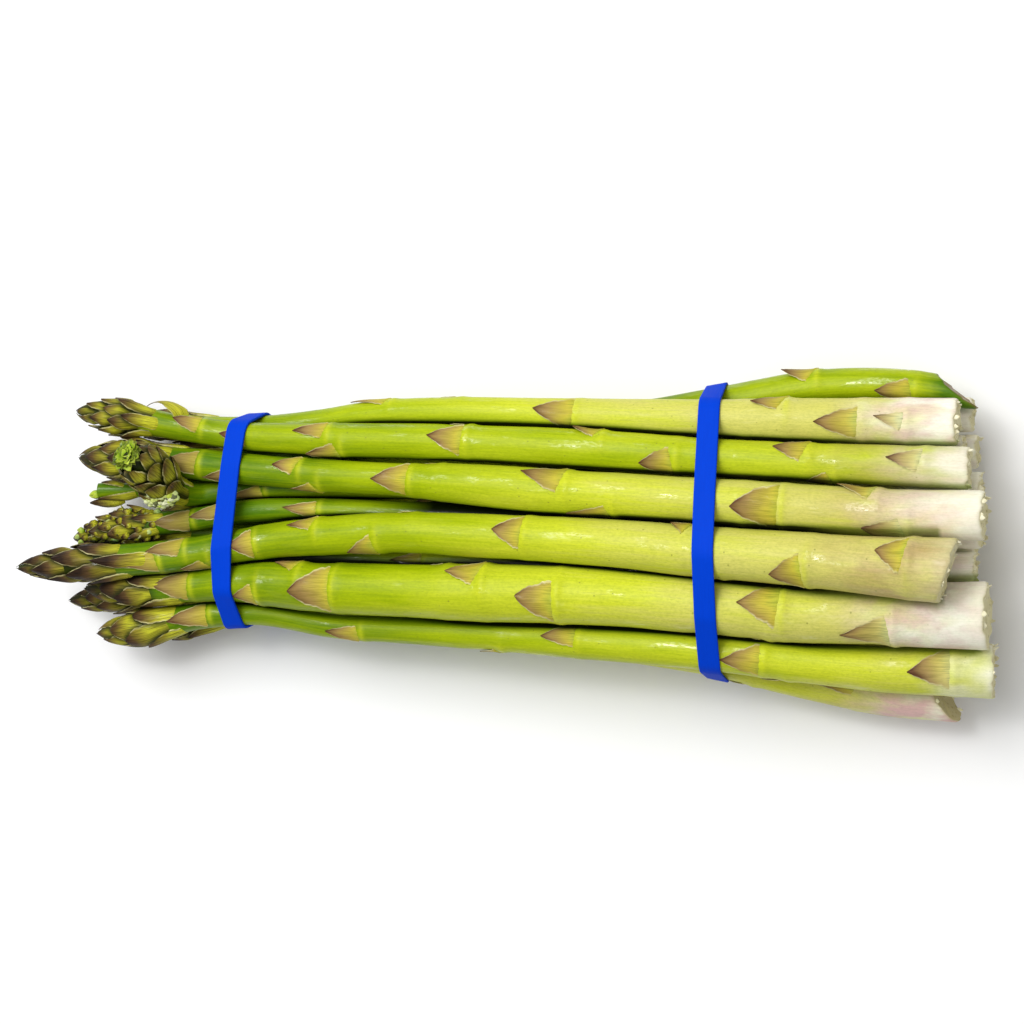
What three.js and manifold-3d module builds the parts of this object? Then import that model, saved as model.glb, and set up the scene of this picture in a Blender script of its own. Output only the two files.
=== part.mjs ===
// A bunch of green asparagus lying on its side, held by two rubber bands.
//
// Millimetres, +Z up, the bands' undersides at z = 0. X runs along the spears: the cut butts are at +X and
// the tips at -X. Each spear is one solid: a tapering stem with its papery bracts and the scales of its
// head fused on. The spears are laid out by hand-chosen routes, then settled against each other, and each
// band is a flat loop drawn tight round everything that it ties.

import * as THREE from 'three';
import Module from 'manifold-3d';

const wasm = await Module();
wasm.setup();

// ---- Driving dimensions ------------------------------------------------------------------------------

// The routes below are given from a point near the bunch's middle; this moves the box's centre to x = y = 0.
const CENTRE = { x: -0.15, y: -1.21 };

const STEM_SIDES = 9;
const INNER_SIDES = 8;
const STEM_RINGS = [94, 61, 54, 27, -2, -30, -60, -70]; // their x, two beside each band
const END_ROOM = 6; // no stem ring comes closer than this to the butt or to the head's base
const HEAD_RINGS = [0.22, 0.46, 0.7, 0.9]; // shares of a head's length
const SMALLEST_RADIUS = 0.5; // of a head's core

// A bract hugs the stem: its base is sunk, it is widest at its base, and it stands proud from its middle
// to its point, less where a band lies over it.
const BRACT = {
  proud: 0.38, underBand: 0.08, nearBand: 4, sunk: 0.35, widest: 42, middle: 0.42, middleWidth: 0.8,
};
const GOLDEN_ANGLE = 137.5;
// The bracts on the sides that a spear's own list doesn't cover, in a spiral from the butt. The list
// covers the sector within this many degrees of straight up.
const SPIRAL = {
  sector: 95,
  shownSpacing: 40,
  innerSpacing: 62,
  spread: [0.8, 1.1],
  fromButt: [10, 20],
  fromHead: 6,
  length: [7.5, 10.5],
  halfAngle: [42, 58],
};

// The scales of a head: how many, how far they stand out of its core, and where the first and the last
// start, as shares of the head's length. A scale rises from its sunk corners to a ridge and a tip.
const SCALE = {
  shown: 10,
  inner: 6,
  proud: 1.0,
  sunk: 0.2,
  lengths: [10.5, 6.5],
  starts: [-0.14, 0.64],
  halfAngle: 62,
  ridgeAt: 0.4,
  ridgeLift: 0.1,
  tipLift: 0.15,
  fromEnd: 0.5,
  coreNarrows: 0.25, // share of the head's length over which the core draws in under its scales
};
const SCALE_ROOM = 0.3; // more room round a head while the spears are settled
// The two loose scales beside a snapped end: x of the base, angle, length.
const SNAPPED_SCALES = [[-94, 245, 13], [-97, 60, 9]];

const BAND = { width: 5.3, thickness: 0.75, gap: 0.55, steps: 60, directions: 720, flatWithin: 10 };
// Where a band crosses the bunch: its x at the point y, z, and how far it leans with each.
const BANDS = [
  { name: 'band_tips', x: -64.4, y: 5, z: 15, perY: 0.07, perZ: -0.17 },
  { name: 'band_butts', x: 56.7, y: 2, z: 25, perY: 0, perZ: 0.075 },
];

// Settling: the spears' skins end this far apart, so that two facing bracts still clear each other, and no
// skin comes lower than the band under it allows.
const SETTLE = { clearance: 0.92, floor: 1.6, first: 124, step: 8, count: 32 };
const ROUNDS = { all: 1200, firm: 400, push: 0.84, pull: 0.03, smooth: 0.25, firmSmooth: 0.04 };
const SHOWN_YIELD = 0.12; // a shown spear's share of a push between it and an inner one
const SIDEWAYS = 0.4; // how much of a push moves a shown spear sideways, against up or down

// A route point is [x, y, z]; girth is [x, diameter]; a bract is [x of its base, angle from straight up
// towards +Y, length, half its width as an angle round the stem].
const SHOWN_SPEARS = [
  {
    name: 'spear_01',
    butt: 116.5,
    tip: -101,
    head: { base: -80, width: 7.6 },
    girth: [[118, 11.2], [100, 10.9], [80, 10.2], [57, 9], [20, 7.6], [-20, 6.8], [-65, 5.6], [-80, 5.4]],
    route: [[120, 27.3, 26], [80, 28.3, 27], [57, 29, 27.5], [20, 30.3, 26.5], [-10, 31.3, 25],
      [-30, 30.8, 22.5], [-45, 29, 19.5], [-65, 27.3, 17.2], [-85, 27.7, 14.5], [-101, 28.5, 13.5]],
    bracts: [[-25.6, 80, 10.5, 40], [23.2, 5, 10.4, 62], [55.3, -80, 5.7, 25], [75, 60, 8, 35],
      [93.4, -5, 10.6, 46], [104.2, 0, 7, 22]],
  },
  {
    name: 'spear_02',
    butt: 119.8,
    tip: -110.5,
    head: { base: -89.5, width: 8.8 },
    girth: [[118, 9.9], [80, 9], [57, 9], [20, 9.3], [0, 8.8], [-40, 8.1], [-65, 6.9], [-80, 6.2],
      [-89.5, 6.4]],
    route: [[120, 16.5, 29.5], [80, 18.4, 30.5], [57, 19.7, 31], [20, 22.3, 31], [-20, 24, 29],
      [-45, 24.6, 26.5], [-65, 25.5, 24], [-80, 27.4, 23], [-95, 29.9, 23], [-110, 32, 23]],
    bracts: [[-75.7, 30, 7.5, 40], [-62.2, 0, 7.5, 46], [-40.5, 40, 8.7, 35], [-36.8, -50, 8.6, 40],
      [-4.1, 15, 9, 57], [30.2, 75, 7, 35], [48.8, -25, 8, 50], [81, 45, 8, 45], [87.4, -60, 6, 35],
      [108.8, 20, 8.3, 36]],
  },
  {
    name: 'spear_03',
    butt: 123.7,
    tip: -110.5,
    head: { base: -86.5, width: 11.4 },
    girth: [[118, 11.7], [80, 11.4], [57, 10.8], [37, 10.5], [10, 10.6], [-7, 9.6], [-16, 8.4],
      [-40, 7.8], [-65, 7.6], [-86.5, 7.8]],
    route: [[124, 5.8, 33.5], [100, 6.3, 34], [80, 7.6, 34.5], [57, 9.2, 34.5], [37, 10.6, 34],
      [17, 11.7, 33.3], [-7, 13.7, 31.4], [-20, 14.6, 30.3], [-40, 15.7, 28], [-65, 17.7, 24.5],
      [-80, 19.3, 22.3], [-95, 20.2, 20.5], [-110, 21, 20]],
    bracts: [[-75.4, 5, 9.4, 48], [-65.2, -35, 8.5, 40], [-47.8, 35, 6.5, 40], [-42.5, -60, 7, 32],
      [-17.8, 5, 9.5, 65], [22.3, 40, 11, 45], [34.1, -60, 11, 30], [75.6, 0, 11.6, 66], [98, 70, 9.6, 40],
      [105.5, -45, 10, 36]],
  },
  {
    name: 'spear_04',
    butt: 116.4,
    tip: -125.3,
    cut: { perY: 0.22, perZ: 0.1 },
    head: { base: -94.5, width: 9.8 },
    girth: [[114, 15.2], [100, 13.8], [80, 12.6], [57, 12.1], [20, 10.9], [0, 10.5], [-20, 9.8], [-40, 9.4],
      [-65, 8], [-94.5, 8]],
    route: [[114, -7.5, 40], [100, -6.4, 39.5], [80, -4.7, 38.5], [57, -2.9, 37], [37, -1, 35.8],
      [20, 0, 34.5], [0, 1, 33], [-20, 1.9, 31.5], [-40, 1, 28.5], [-55, -0.3, 26.5], [-65, -1.8, 26.5],
      [-80, -4.3, 26.8], [-95, -5.8, 27.5], [-110, -6.8, 27], [-125.3, -7.8, 26.5]],
    bracts: [[-85.5, -15, 9.7, 42], [-78.5, 35, 9.7, 40], [-72.7, -60, 7.2, 30], [-59.7, 0, 6.6, 55],
      [-42.5, 50, 7.1, 30], [-26.1, -45, 7.8, 42], [12.4, 20, 7.3, 50], [53.6, 65, 5, 25],
      [82.8, -30, 7.9, 45], [107.1, 30, 7.1, 42]],
  },
  {
    name: 'spear_05',
    butt: 123.9,
    tip: -109,
    head: { base: -86, width: 9 },
    girth: [[118, 15.6], [100, 14.5], [80, 13.8], [40, 13.3], [0, 13.7], [-20, 12.6], [-40, 12], [-55, 10.8],
      [-65, 9.2], [-80, 7.8], [-86, 7.6]],
    route: [[124, -16.9, 28.5], [100, -17.1, 30], [80, -17.2, 31.5], [57, -15.7, 32.5], [20, -13.4, 32.5],
      [-20, -12.8, 30.5], [-40, -12.2, 28], [-65, -11.3, 25], [-80, -12.3, 22.8], [-95, -13, 21],
      [-109, -12.9, 21]],
    bracts: [[-77.8, 5, 10.2, 62], [-59, -35, 6.6, 36], [-48.1, 70, 6.3, 28], [-37.8, 0, 11.2, 64],
      [1.3, 50, 8.9, 34], [20.3, -15, 9.3, 46], [75, 20, 10.1, 54], [101.2, -35, 11.9, 36]],
  },
  {
    name: 'spear_06',
    butt: 124.4,
    tip: -107,
    head: { base: -86, width: 9.4 },
    girth: [[118, 12.3], [100, 10.9], [80, 9.7], [57, 9], [20, 8.3], [0, 7.4], [-20, 6.5], [-40, 5.7],
      [-65, 5.7], [-86, 7]],
    route: [[124, -31, 22.5], [100, -31, 24.5], [80, -29.5, 26.5], [57, -27.2, 28], [20, -24.7, 27],
      [-20, -22.8, 24], [-40, -21.9, 22], [-65, -18.3, 19.5], [-80, -19.5, 18], [-95, -22.6, 16.8],
      [-107, -24.2, 16.8]],
    bracts: [[-74.5, 0, 11.3, 58], [-33.4, -30, 8.7, 45], [3.5, -90, 5.6, 28], [23.8, 20, 8.6, 40],
      [69.3, -10, 9.8, 54], [114.5, 10, 10.4, 54]],
  },
  {
    name: 'spear_07',
    butt: 115.2,
    tip: -97,
    cut: { perY: -1.1, perZ: 0 },
    head: { base: -77, width: 7.4 },
    girth: [[118, 7], [100, 8], [57, 8.2], [0, 6.8], [-65, 6], [-77, 6]],
    route: [[117, 35, 19], [100, 37.1, 19], [80, 36.7, 19], [57, 32.9, 18.7], [40, 30.3, 19],
      [20, 28.5, 18.5], [-20, 25.5, 17], [-65, 20.9, 15.8], [-97, 21.5, 15]],
    bracts: [[81, 60, 7.4, 42], [109.1, -30, 10, 36]],
  },
  {
    name: 'spear_08',
    butt: 117,
    tip: -107,
    snapped: true,
    head: { base: -88, width: 4 },
    girth: [[118, 8.4], [57, 8], [0, 6.6], [-65, 4.4], [-107, 3.6]],
    route: [[117, 20.5, 20.5], [57, 21, 21], [20, 20, 21], [-20, 18, 19.5], [-45, 15.5, 17],
      [-65, 13.8, 14.5], [-80, 12.8, 14.5], [-107, 12, 16]],
    bracts: [],
  },
  {
    name: 'spear_09',
    butt: 121.5,
    tip: -88.7,
    head: { base: -81.5, width: 10.5, closing: 5 },
    girth: [[118, 8.4], [57, 8], [0, 7], [-65, 5.6], [-89, 5.6]],
    route: [[121, 11.5, 22], [57, 12.5, 22.5], [20, 13, 22.5], [-20, 13.5, 21.5], [-45, 12.8, 20],
      [-65, 12.1, 20], [-73, 11.1, 20], [-78, 10.3, 22], [-81, 11, 26], [-83.5, 13.4, 31],
      [-86, 17.4, 37], [-88.7, 20.8, 44]],
    bracts: [[-60, -30, 9, 45]],
  },
  {
    name: 'spear_10',
    butt: 121.5,
    tip: -112,
    head: { base: -87.5, width: 8.8 },
    girth: [[118, 8.8], [57, 8.4], [0, 7], [-20, 6], [-65, 5.5], [-87.5, 5.6]],
    route: [[121, 2.5, 22.5], [57, 2.8, 23], [20, 4.5, 24], [-20, 6.4, 24.5], [-40, 7.4, 24], [-65, 7.3, 22.5],
      [-80, 5.2, 21.5], [-95, 3.2, 20.5], [-112, 0, 20.5]],
    bracts: [[-78.3, -5, 10, 60], [-70.9, 20, 7.2, 42], [-44.2, 0, 9, 46]],
  },
  {
    name: 'spear_11',
    butt: 120,
    tip: -117,
    head: { base: -95, width: 8.2 },
    girth: [[118, 8.6], [57, 8.2], [0, 7.2], [-65, 6], [-94, 6]],
    route: [[120, -7, 22.5], [57, -8, 23], [20, -7.3, 23.5], [0, -5.7, 23.5], [-20, -5.4, 23],
      [-55, -5.9, 19.5], [-65, -6.7, 17.5], [-80, -10, 15], [-95, -14, 12.5], [-117, -16.5, 12]],
    bracts: [[-16.6, 0, 8.3, 30]],
  },
  {
    name: 'spear_13',
    butt: 111,
    tip: -98,
    cut: { perY: -0.7, perZ: -0.3 },
    head: { base: -79, width: 7.6 },
    girth: [[115, 11], [100, 10.6], [57, 9], [0, 7.5], [-65, 6], [-79, 6]],
    route: [[111, -38.4, 12.5], [97, -37.4, 13], [80, -34.4, 15], [57, -29.3, 17], [20, -24.5, 17],
      [-20, -20, 14.5], [-65, -16, 12], [-80, -20, 10.5], [-98, -23, 9.5]],
    bracts: [[90, 10, 12, 30]],
  },
];

// The spears inside the bunch: where each passes the butts' band, the tips' band and its own tip, as [y, z].
const INNER_SPEARS = [
  { name: 'spear_12', butt: 119, tip: -82, atButts: [-17.5, 16.5], atTips: [-12.5, 14.5], atTip: [-15, 12] },
  { name: 'spear_14', butt: 118, tip: -99, atButts: [27, 11.5], atTips: [24.5, 10.5], atTip: [27, 8] },
  { name: 'spear_15', butt: 119, tip: -97, atButts: [18.5, 12.5], atTips: [17.8, 6.8], atTip: [19.5, 6] },
  { name: 'spear_16', butt: 117, tip: -92, atButts: [10, 13.5], atTips: [6.5, 14], atTip: [5, 13.5] },
  { name: 'spear_17', butt: 119, tip: -106, atButts: [1, 13.5], atTips: [0, 13.5], atTip: [-3, 13.5] },
  { name: 'spear_18', butt: 116, tip: -94, atButts: [-8.5, 13.5], atTips: [-5, 10.3], atTip: [-7, 10] },
  { name: 'spear_19', butt: 117, tip: -92, atButts: [-25.5, 10.5], atTips: [-14.5, 7], atTip: [-18, 5.6] },
  { name: 'spear_20', butt: 115, tip: -90, atButts: [15, 5.6], atTips: [11, 4.6], atTip: [11.5, 6] },
  { name: 'spear_21', butt: 117, tip: -94, atButts: [5.5, 5.6], atTips: [4.3, 4.5], atTip: [3.5, 5.6] },
  { name: 'spear_22', butt: 116, tip: -99, atButts: [-4, 5.6], atTips: [-2.3, 4.5], atTip: [-4, 5.4] },
  { name: 'spear_23', butt: 118, tip: -90, atButts: [-14, 5.6], atTips: [-8.8, 4.6], atTip: [-11, 5.4] },
];
const INNER_GIRTH = [[118, 8.2], [57, 7.7], [0, 7], [-65, 5.3], [-90, 5.4]];
const INNER_HEAD = { length: 20, width: 6.8 };

const COLOURS = { stem: 0x9fb92c, innerStem: 0x86a32a, band: 0x0b46cf };

// ---- Curves ------------------------------------------------------------------------------------------

// A smooth curve through the points (knots[i], values[i]), knots rising or falling, by cubic Hermite
// pieces with three-point slopes. Past its ends it goes on straight.
function smoothCurve(knots, values) {
  const last = knots.length - 1;
  const chord = (i) => (values[i + 1] - values[i]) / (knots[i + 1] - knots[i]);
  const slope = knots.map((_, i) => {
    if (i === 0) return chord(0);
    if (i === last) return chord(last - 1);
    const before = knots[i] - knots[i - 1];
    const after = knots[i + 1] - knots[i];
    return (chord(i - 1) * after + chord(i) * before) / (before + after);
  });
  const direction = Math.sign(knots[last] - knots[0]);
  return (x) => {
    if ((x - knots[0]) * direction <= 0) return values[0] + slope[0] * (x - knots[0]);
    if ((x - knots[last]) * direction >= 0) return values[last] + slope[last] * (x - knots[last]);
    let i = 0;
    while ((x - knots[i + 1]) * direction > 0) i += 1;
    const width = knots[i + 1] - knots[i];
    const t = (x - knots[i]) / width;
    const rest = 1 - t;
    return rest * rest * ((1 + 2 * t) * values[i] + t * width * slope[i])
      + t * t * ((3 - 2 * t) * values[i + 1] - rest * width * slope[i + 1]);
  };
}

const column = (rows, index) => rows.map((row) => row[index]);
const curveOf = (rows, index) => smoothCurve(column(rows, 0), column(rows, index));
const radians = (degrees) => (degrees * Math.PI) / 180;
const mix = (a, b, t) => a + (b - a) * t;
const clamp01 = (t) => Math.min(1, Math.max(0, t));

// A seeded random number from 0 to 1, new on each call.
function seededRandom(seed) {
  let state = seed >>> 0;
  return () => {
    state = (Math.imul(state, 1664525) + 1013904223) >>> 0;
    return state / 4294967296;
  };
}

// Radius of a head's outline from its base (t = 0) to its tip (t = 1): it swells to its widest at a
// third of its length and closes in a pointed arch, blunter the larger its closing exponent.
const WIDEST_AT = 0.34;
const CLOSING = 1.6;
function headRadius(t, neckRadius, { width, closing = CLOSING }) {
  const widest = width / 2;
  if (t <= WIDEST_AT) {
    const rise = clamp01(t / WIDEST_AT);
    return mix(neckRadius, widest, rise * rise * (3 - 2 * rise));
  }
  const close = clamp01((t - WIDEST_AT) / (1 - WIDEST_AT));
  return widest * (1 - close ** closing) ** 0.75;
}

// ---- Laying out and settling the spears --------------------------------------------------------------

// An inner spear's route and girth, from where it passes the two bands.
function innerSpear({ name, butt, tip, atButts, atTips, atTip }) {
  const headBase = tip + INNER_HEAD.length;
  return {
    name,
    butt,
    tip,
    inner: true,
    head: { base: headBase, width: INNER_HEAD.width },
    girth: INNER_GIRTH,
    route: [[120, ...atButts], [57, ...atButts], [-65, ...atTips], [tip, ...atTip]],
    bracts: [],
  };
}

const spears = [...SHOWN_SPEARS, ...INNER_SPEARS.map(innerSpear)];
for (const spear of spears) {
  spear.routeY = curveOf(spear.route, 1);
  spear.routeZ = curveOf(spear.route, 2);
  spear.diameter = curveOf(spear.girth, 1);
  spear.sideways = spear.inner ? 1 : SIDEWAYS;
}

// The radius that a spear needs at x while it is settled, with its head's scales.
function roomAt(spear, x) {
  if (x > spear.butt + SETTLE.step / 2 || x < spear.tip - SETTLE.step / 2) return 0;
  if (x > spear.head.base || spear.snapped) return spear.diameter(x) / 2;
  const along = clamp01((spear.head.base - x) / (spear.head.base - spear.tip));
  return headRadius(along, spear.diameter(spear.head.base) / 2, spear.head) + SCALE_ROOM;
}

// The first spear's share of a push: half, unless only one of the two is an inner spear.
function shareOfPush(first, second) {
  if (Boolean(first.inner) === Boolean(second.inner)) return 0.5;
  return first.inner ? 1 - SHOWN_YIELD : SHOWN_YIELD;
}

// Moves the spears apart, station by station along x, until their skins clear each other and the floor.
// Each round eases every overlap by moving both spears, keeps each spear's shift smooth along its length,
// and, until the last rounds, pulls it back towards its route.
function settleSpears() {
  const stations = Array.from({ length: SETTLE.count }, (_, k) => SETTLE.first - k * SETTLE.step);
  const routes = spears.map((s) => stations.map((x) => [s.routeY(x), s.routeZ(x)]));
  const rooms = spears.map((s) => stations.map((x) => roomAt(s, x)));
  const places = routes.map((route) => route.map((p) => [...p]));
  for (let round = 0; round < ROUNDS.all; round += 1) {
    const firm = round >= ROUNDS.all - ROUNDS.firm;
    const pull = firm ? 0 : ROUNDS.pull;
    const smooth = firm ? ROUNDS.firmSmooth : ROUNDS.smooth;
    const moves = places.map((place) => place.map(() => [0, 0]));
    stations.forEach((_, k) => {
      for (let i = 0; i < spears.length; i += 1) {
        for (let j = i + 1; j < spears.length; j += 1) {
          if (!rooms[i][k] || !rooms[j][k]) continue;
          const dy = places[i][k][0] - places[j][k][0];
          const dz = places[i][k][1] - places[j][k][1];
          const apart = Math.hypot(dy, dz);
          const lack = rooms[i][k] + rooms[j][k] + SETTLE.clearance - apart;
          if (lack <= 0) continue;
          const share = (ROUNDS.push * lack) / apart;
          const mine = shareOfPush(spears[i], spears[j]);
          moves[i][k][0] += dy * share * mine * spears[i].sideways;
          moves[i][k][1] += dz * share * mine;
          moves[j][k][0] -= dy * share * (1 - mine) * spears[j].sideways;
          moves[j][k][1] -= dz * share * (1 - mine);
        }
      }
    });
    const shiftFrom = (i) => ([y, z], k) => [y - routes[i][k][0], z - routes[i][k][1]];
    const shifts = places.map((place, i) => place.map(shiftFrom(i)));
    places.forEach((place, i) => {
      place.forEach((p, k) => {
        const before = shifts[i][Math.max(0, k - 1)];
        const after = shifts[i][Math.min(SETTLE.count - 1, k + 1)];
        for (const axis of [0, 1]) {
          const bend = (before[axis] + after[axis]) / 2 - shifts[i][k][axis];
          p[axis] += moves[i][k][axis] + smooth * bend - pull * shifts[i][k][axis];
        }
        p[1] = Math.max(p[1], SETTLE.floor + rooms[i][k]);
      });
    });
  }
  spears.forEach((spear, i) => {
    spear.shiftY = smoothCurve(stations, places[i].map((p, k) => p[0] - routes[i][k][0]));
    spear.shiftZ = smoothCurve(stations, places[i].map((p, k) => p[1] - routes[i][k][1]));
  });
}
settleSpears();

// ---- A spear's centreline ----------------------------------------------------------------------------

const centreAt = (spear, x) => new THREE.Vector3(
  x - CENTRE.x,
  spear.routeY(x) + spear.shiftY(x) - CENTRE.y,
  spear.routeZ(x) + spear.shiftZ(x),
);

// Measures a spear's centreline from its butt, so that bracts and scales keep their true lengths where
// the spear bends.
const TRACE_STEPS = 480;
function traceSpear(spear) {
  const xs = Array.from({ length: TRACE_STEPS + 1 }, (_, i) => mix(spear.butt, spear.tip, i / TRACE_STEPS));
  const lengths = [0];
  for (let i = 1; i < xs.length; i += 1) {
    lengths.push(lengths[i - 1] + centreAt(spear, xs[i]).distanceTo(centreAt(spear, xs[i - 1])));
  }
  spear.length = lengths[TRACE_STEPS];
  spear.xAt = (length) => {
    let i = 0;
    while (i < TRACE_STEPS - 1 && lengths[i + 1] < length) i += 1;
    return mix(xs[i], xs[i + 1], (length - lengths[i]) / (lengths[i + 1] - lengths[i]));
  };
  spear.lengthAt = (x) => {
    const place = ((spear.butt - x) / (spear.butt - spear.tip)) * TRACE_STEPS;
    const i = Math.min(TRACE_STEPS - 1, Math.max(0, Math.floor(place)));
    return mix(lengths[i], lengths[i + 1], place - i);
  };
  spear.headStart = spear.lengthAt(spear.head.base);
}
spears.forEach(traceSpear);

// The centre, the direction towards the tip, and the two directions across a spear, at a length from
// its butt.
function frameAt(spear, length) {
  const x = spear.xAt(length);
  const centre = centreAt(spear, x);
  const ahead = centreAt(spear, x - 0.4).sub(centreAt(spear, x + 0.4)).normalize();
  const side = new THREE.Vector3(0, 1, 0).addScaledVector(ahead, -ahead.y).normalize();
  const up = new THREE.Vector3().crossVectors(side, ahead);
  return { x, centre, ahead, side, up };
}

// The point at a radius and an angle round the frame, 0 degrees up and 90 degrees towards +Y.
function pointRound(frame, radius, degrees) {
  const angle = radians(degrees);
  return frame.centre.clone()
    .addScaledVector(frame.up, radius * Math.cos(angle))
    .addScaledVector(frame.side, radius * Math.sin(angle));
}

const stemRadius = (spear, length) => spear.diameter(spear.xAt(length)) / 2;

// A spear's outline radius at a length: the stem, then the head's outline.
function outlineRadius(spear, length) {
  if (length <= spear.headStart || spear.snapped) return stemRadius(spear, length);
  const t = (length - spear.headStart) / (spear.length - spear.headStart);
  return headRadius(t, stemRadius(spear, spear.headStart), spear.head);
}

// ---- Solids ------------------------------------------------------------------------------------------

// A closed solid from its corner points and its triangles.
function solidFrom(points, triangles) {
  const vertProperties = new Float32Array(points.flatMap((p) => [p.x, p.y, p.z]));
  const triVerts = new Uint32Array(triangles.flat());
  return new wasm.Manifold(new wasm.Mesh({ numProp: 3, vertProperties, triVerts }));
}

// A tube over rings of equal count, closed at each end by a fan to a middle point.
function tubeSolid(rings, startMiddle, endMiddle) {
  const sides = rings[0].length;
  const points = [...rings.flat(), startMiddle, endMiddle];
  const start = points.length - 2;
  const end = points.length - 1;
  const lastRing = (rings.length - 1) * sides;
  const triangles = [];
  for (let s = 0; s < sides; s += 1) {
    const next = (s + 1) % sides;
    triangles.push([start, next, s], [end, lastRing + s, lastRing + next]);
    for (let ring = 0; ring < rings.length - 1; ring += 1) {
      const a = ring * sides + s;
      const b = ring * sides + next;
      triangles.push([a, b, b + sides], [a, b + sides, a + sides]);
    }
  }
  return solidFrom(points, triangles);
}

// The stem with the core of the head, as one tapering tube. The core stays inside the head's outline by
// as much as its scales stand out. The butt's cut may slant.
function stemSolid(spear) {
  const sides = spear.inner ? INNER_SIDES : STEM_SIDES;
  const headLength = spear.length - spear.headStart;
  const lengths = [0];
  for (const x of STEM_RINGS) {
    if (x < spear.butt - END_ROOM && x > spear.head.base + END_ROOM) lengths.push(spear.lengthAt(x));
  }
  for (const share of [0, ...HEAD_RINGS]) lengths.push(spear.headStart + headLength * share);
  const cut = spear.cut ?? { perY: 0, perZ: 0 };
  const buttSlant = (point, middle) => {
    point.x += cut.perY * (point.y - middle.y) + cut.perZ * (point.z - middle.z);
    return point;
  };
  const rings = lengths.map((length, i) => {
    const frame = frameAt(spear, length);
    const inHead = clamp01((length - spear.headStart) / (SCALE.coreNarrows * headLength));
    const radius = outlineRadius(spear, length) - (spear.snapped ? 0 : SCALE.proud * inHead);
    return Array.from({ length: sides }, (_, s) => {
      const point = pointRound(frame, Math.max(radius, SMALLEST_RADIUS), (360 * s) / sides);
      return i === 0 ? buttSlant(point, frame.centre) : point;
    });
  });
  return tubeSolid(rings, frameAt(spear, 0).centre, frameAt(spear, spear.length).centre);
}

// A bract or scale: a patch of skin that starts sunk in the spear, stands proud of it and ends in a point
// towards the tip, closed by a fan to a point deep inside the spear. rows holds, from the base to the
// point, each row's distance along, its radius and its half angle, with the count of points across.
function bladeSolid(spear, start, degrees, rows) {
  const points = [];
  const rowStarts = [];
  for (const { along, radius, halfAngle, across } of rows) {
    rowStarts.push(points.length);
    const frame = frameAt(spear, start + along);
    for (let i = 0; i < across; i += 1) {
      const turn = across === 1 ? 0 : mix(-halfAngle, halfAngle, i / (across - 1));
      points.push(pointRound(frame, radius, degrees + turn));
    }
  }
  const triangles = [];
  for (let row = 0; row < rows.length - 1; row += 1) {
    const [from, to] = [rowStarts[row], rowStarts[row + 1]];
    let [i, j] = [0, 0];
    const [countI, countJ] = [rows[row].across - 1, rows[row + 1].across - 1];
    while (i < countI || j < countJ) {
      const stepI = j === countJ || (i < countI && (i + 0.5) / countI <= (j + 0.5) / countJ);
      triangles.push(stepI ? [from + i, from + i + 1, to + j] : [from + i, to + j + 1, to + j]);
      if (stepI) i += 1;
      else j += 1;
    }
  }
  const rim = [];
  for (let i = 0; i < rows[0].across; i += 1) rim.push(i);
  for (let row = 1; row < rows.length; row += 1) rim.push(rowStarts[row] + rows[row].across - 1);
  for (let row = rows.length - 2; row > 0; row -= 1) rim.push(rowStarts[row]);
  points.push(frameAt(spear, start + rows[rows.length - 1].along / 2).centre);
  const root = points.length - 1;
  rim.forEach((corner, i) => triangles.push([rim[(i + 1) % rim.length], corner, root]));
  return solidFrom(points, triangles);
}

// How far a bract stands proud at x: little where a band lies over it.
function bractProud(frame) {
  const { y, z } = frame.centre;
  const covered = BANDS.some((band) => (
    Math.abs(frame.x - edgeX(band, 0, y + CENTRE.y, z)) < BAND.width / 2 + BRACT.nearBand));
  return covered ? BRACT.underBand : BRACT.proud;
}

function bractSolid(spear, [x, degrees, length, halfAngle]) {
  const start = spear.lengthAt(x);
  const widest = Math.min(halfAngle, BRACT.widest);
  const row = (share, across, width, proud) => {
    const along = length * share;
    return { along, radius: stemRadius(spear, start + along) + proud, halfAngle: widest * width, across };
  };
  const proudAt = (share) => bractProud(frameAt(spear, start + length * share));
  return bladeSolid(spear, start, degrees, [
    row(0, 3, 1, -BRACT.sunk),
    row(BRACT.middle, 3, BRACT.middleWidth, proudAt(BRACT.middle)),
    row(1, 1, 0, proudAt(1)),
  ]);
}

// The bracts on the sides that a spear's own list doesn't cover.
function spiralBracts(spear, random) {
  const between = ([low, high]) => mix(low, high, random());
  const list = [];
  let degrees = 360 * random();
  const spacing = spear.inner ? SPIRAL.innerSpacing : SPIRAL.shownSpacing;
  const last = spear.head.base + SPIRAL.fromHead;
  for (let x = spear.butt - between(SPIRAL.fromButt); x > last; x -= spacing * between(SPIRAL.spread)) {
    degrees += GOLDEN_ANGLE;
    const turned = ((degrees + 180) % 360) - 180;
    if (spear.inner || Math.abs(turned) > SPIRAL.sector) {
      list.push([x, turned, between(SPIRAL.length), between(SPIRAL.halfAngle)]);
    }
  }
  return list;
}

// A scale of a head: two corners sunk in the core, a ridge point and a tip on the head's outline, and a
// root deep inside.
function scaleSolid(spear, start, length, degrees) {
  const pointAt = (share, proud, turn) => {
    const at = start + length * share;
    const radius = Math.max(outlineRadius(spear, at) + proud, SMALLEST_RADIUS);
    return pointRound(frameAt(spear, at), radius, degrees + turn);
  };
  const corners = [
    pointAt(0, -SCALE.proud - SCALE.sunk, -SCALE.halfAngle),
    pointAt(0, -SCALE.proud - SCALE.sunk, SCALE.halfAngle),
    pointAt(1, SCALE.tipLift, 0),
    pointAt(SCALE.ridgeAt, SCALE.ridgeLift, 0),
    frameAt(spear, start + length * SCALE.ridgeAt).centre,
  ];
  return solidFrom(corners, [[0, 1, 3], [1, 2, 3], [2, 0, 3], [1, 0, 4], [2, 1, 4], [0, 2, 4]]);
}

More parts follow.
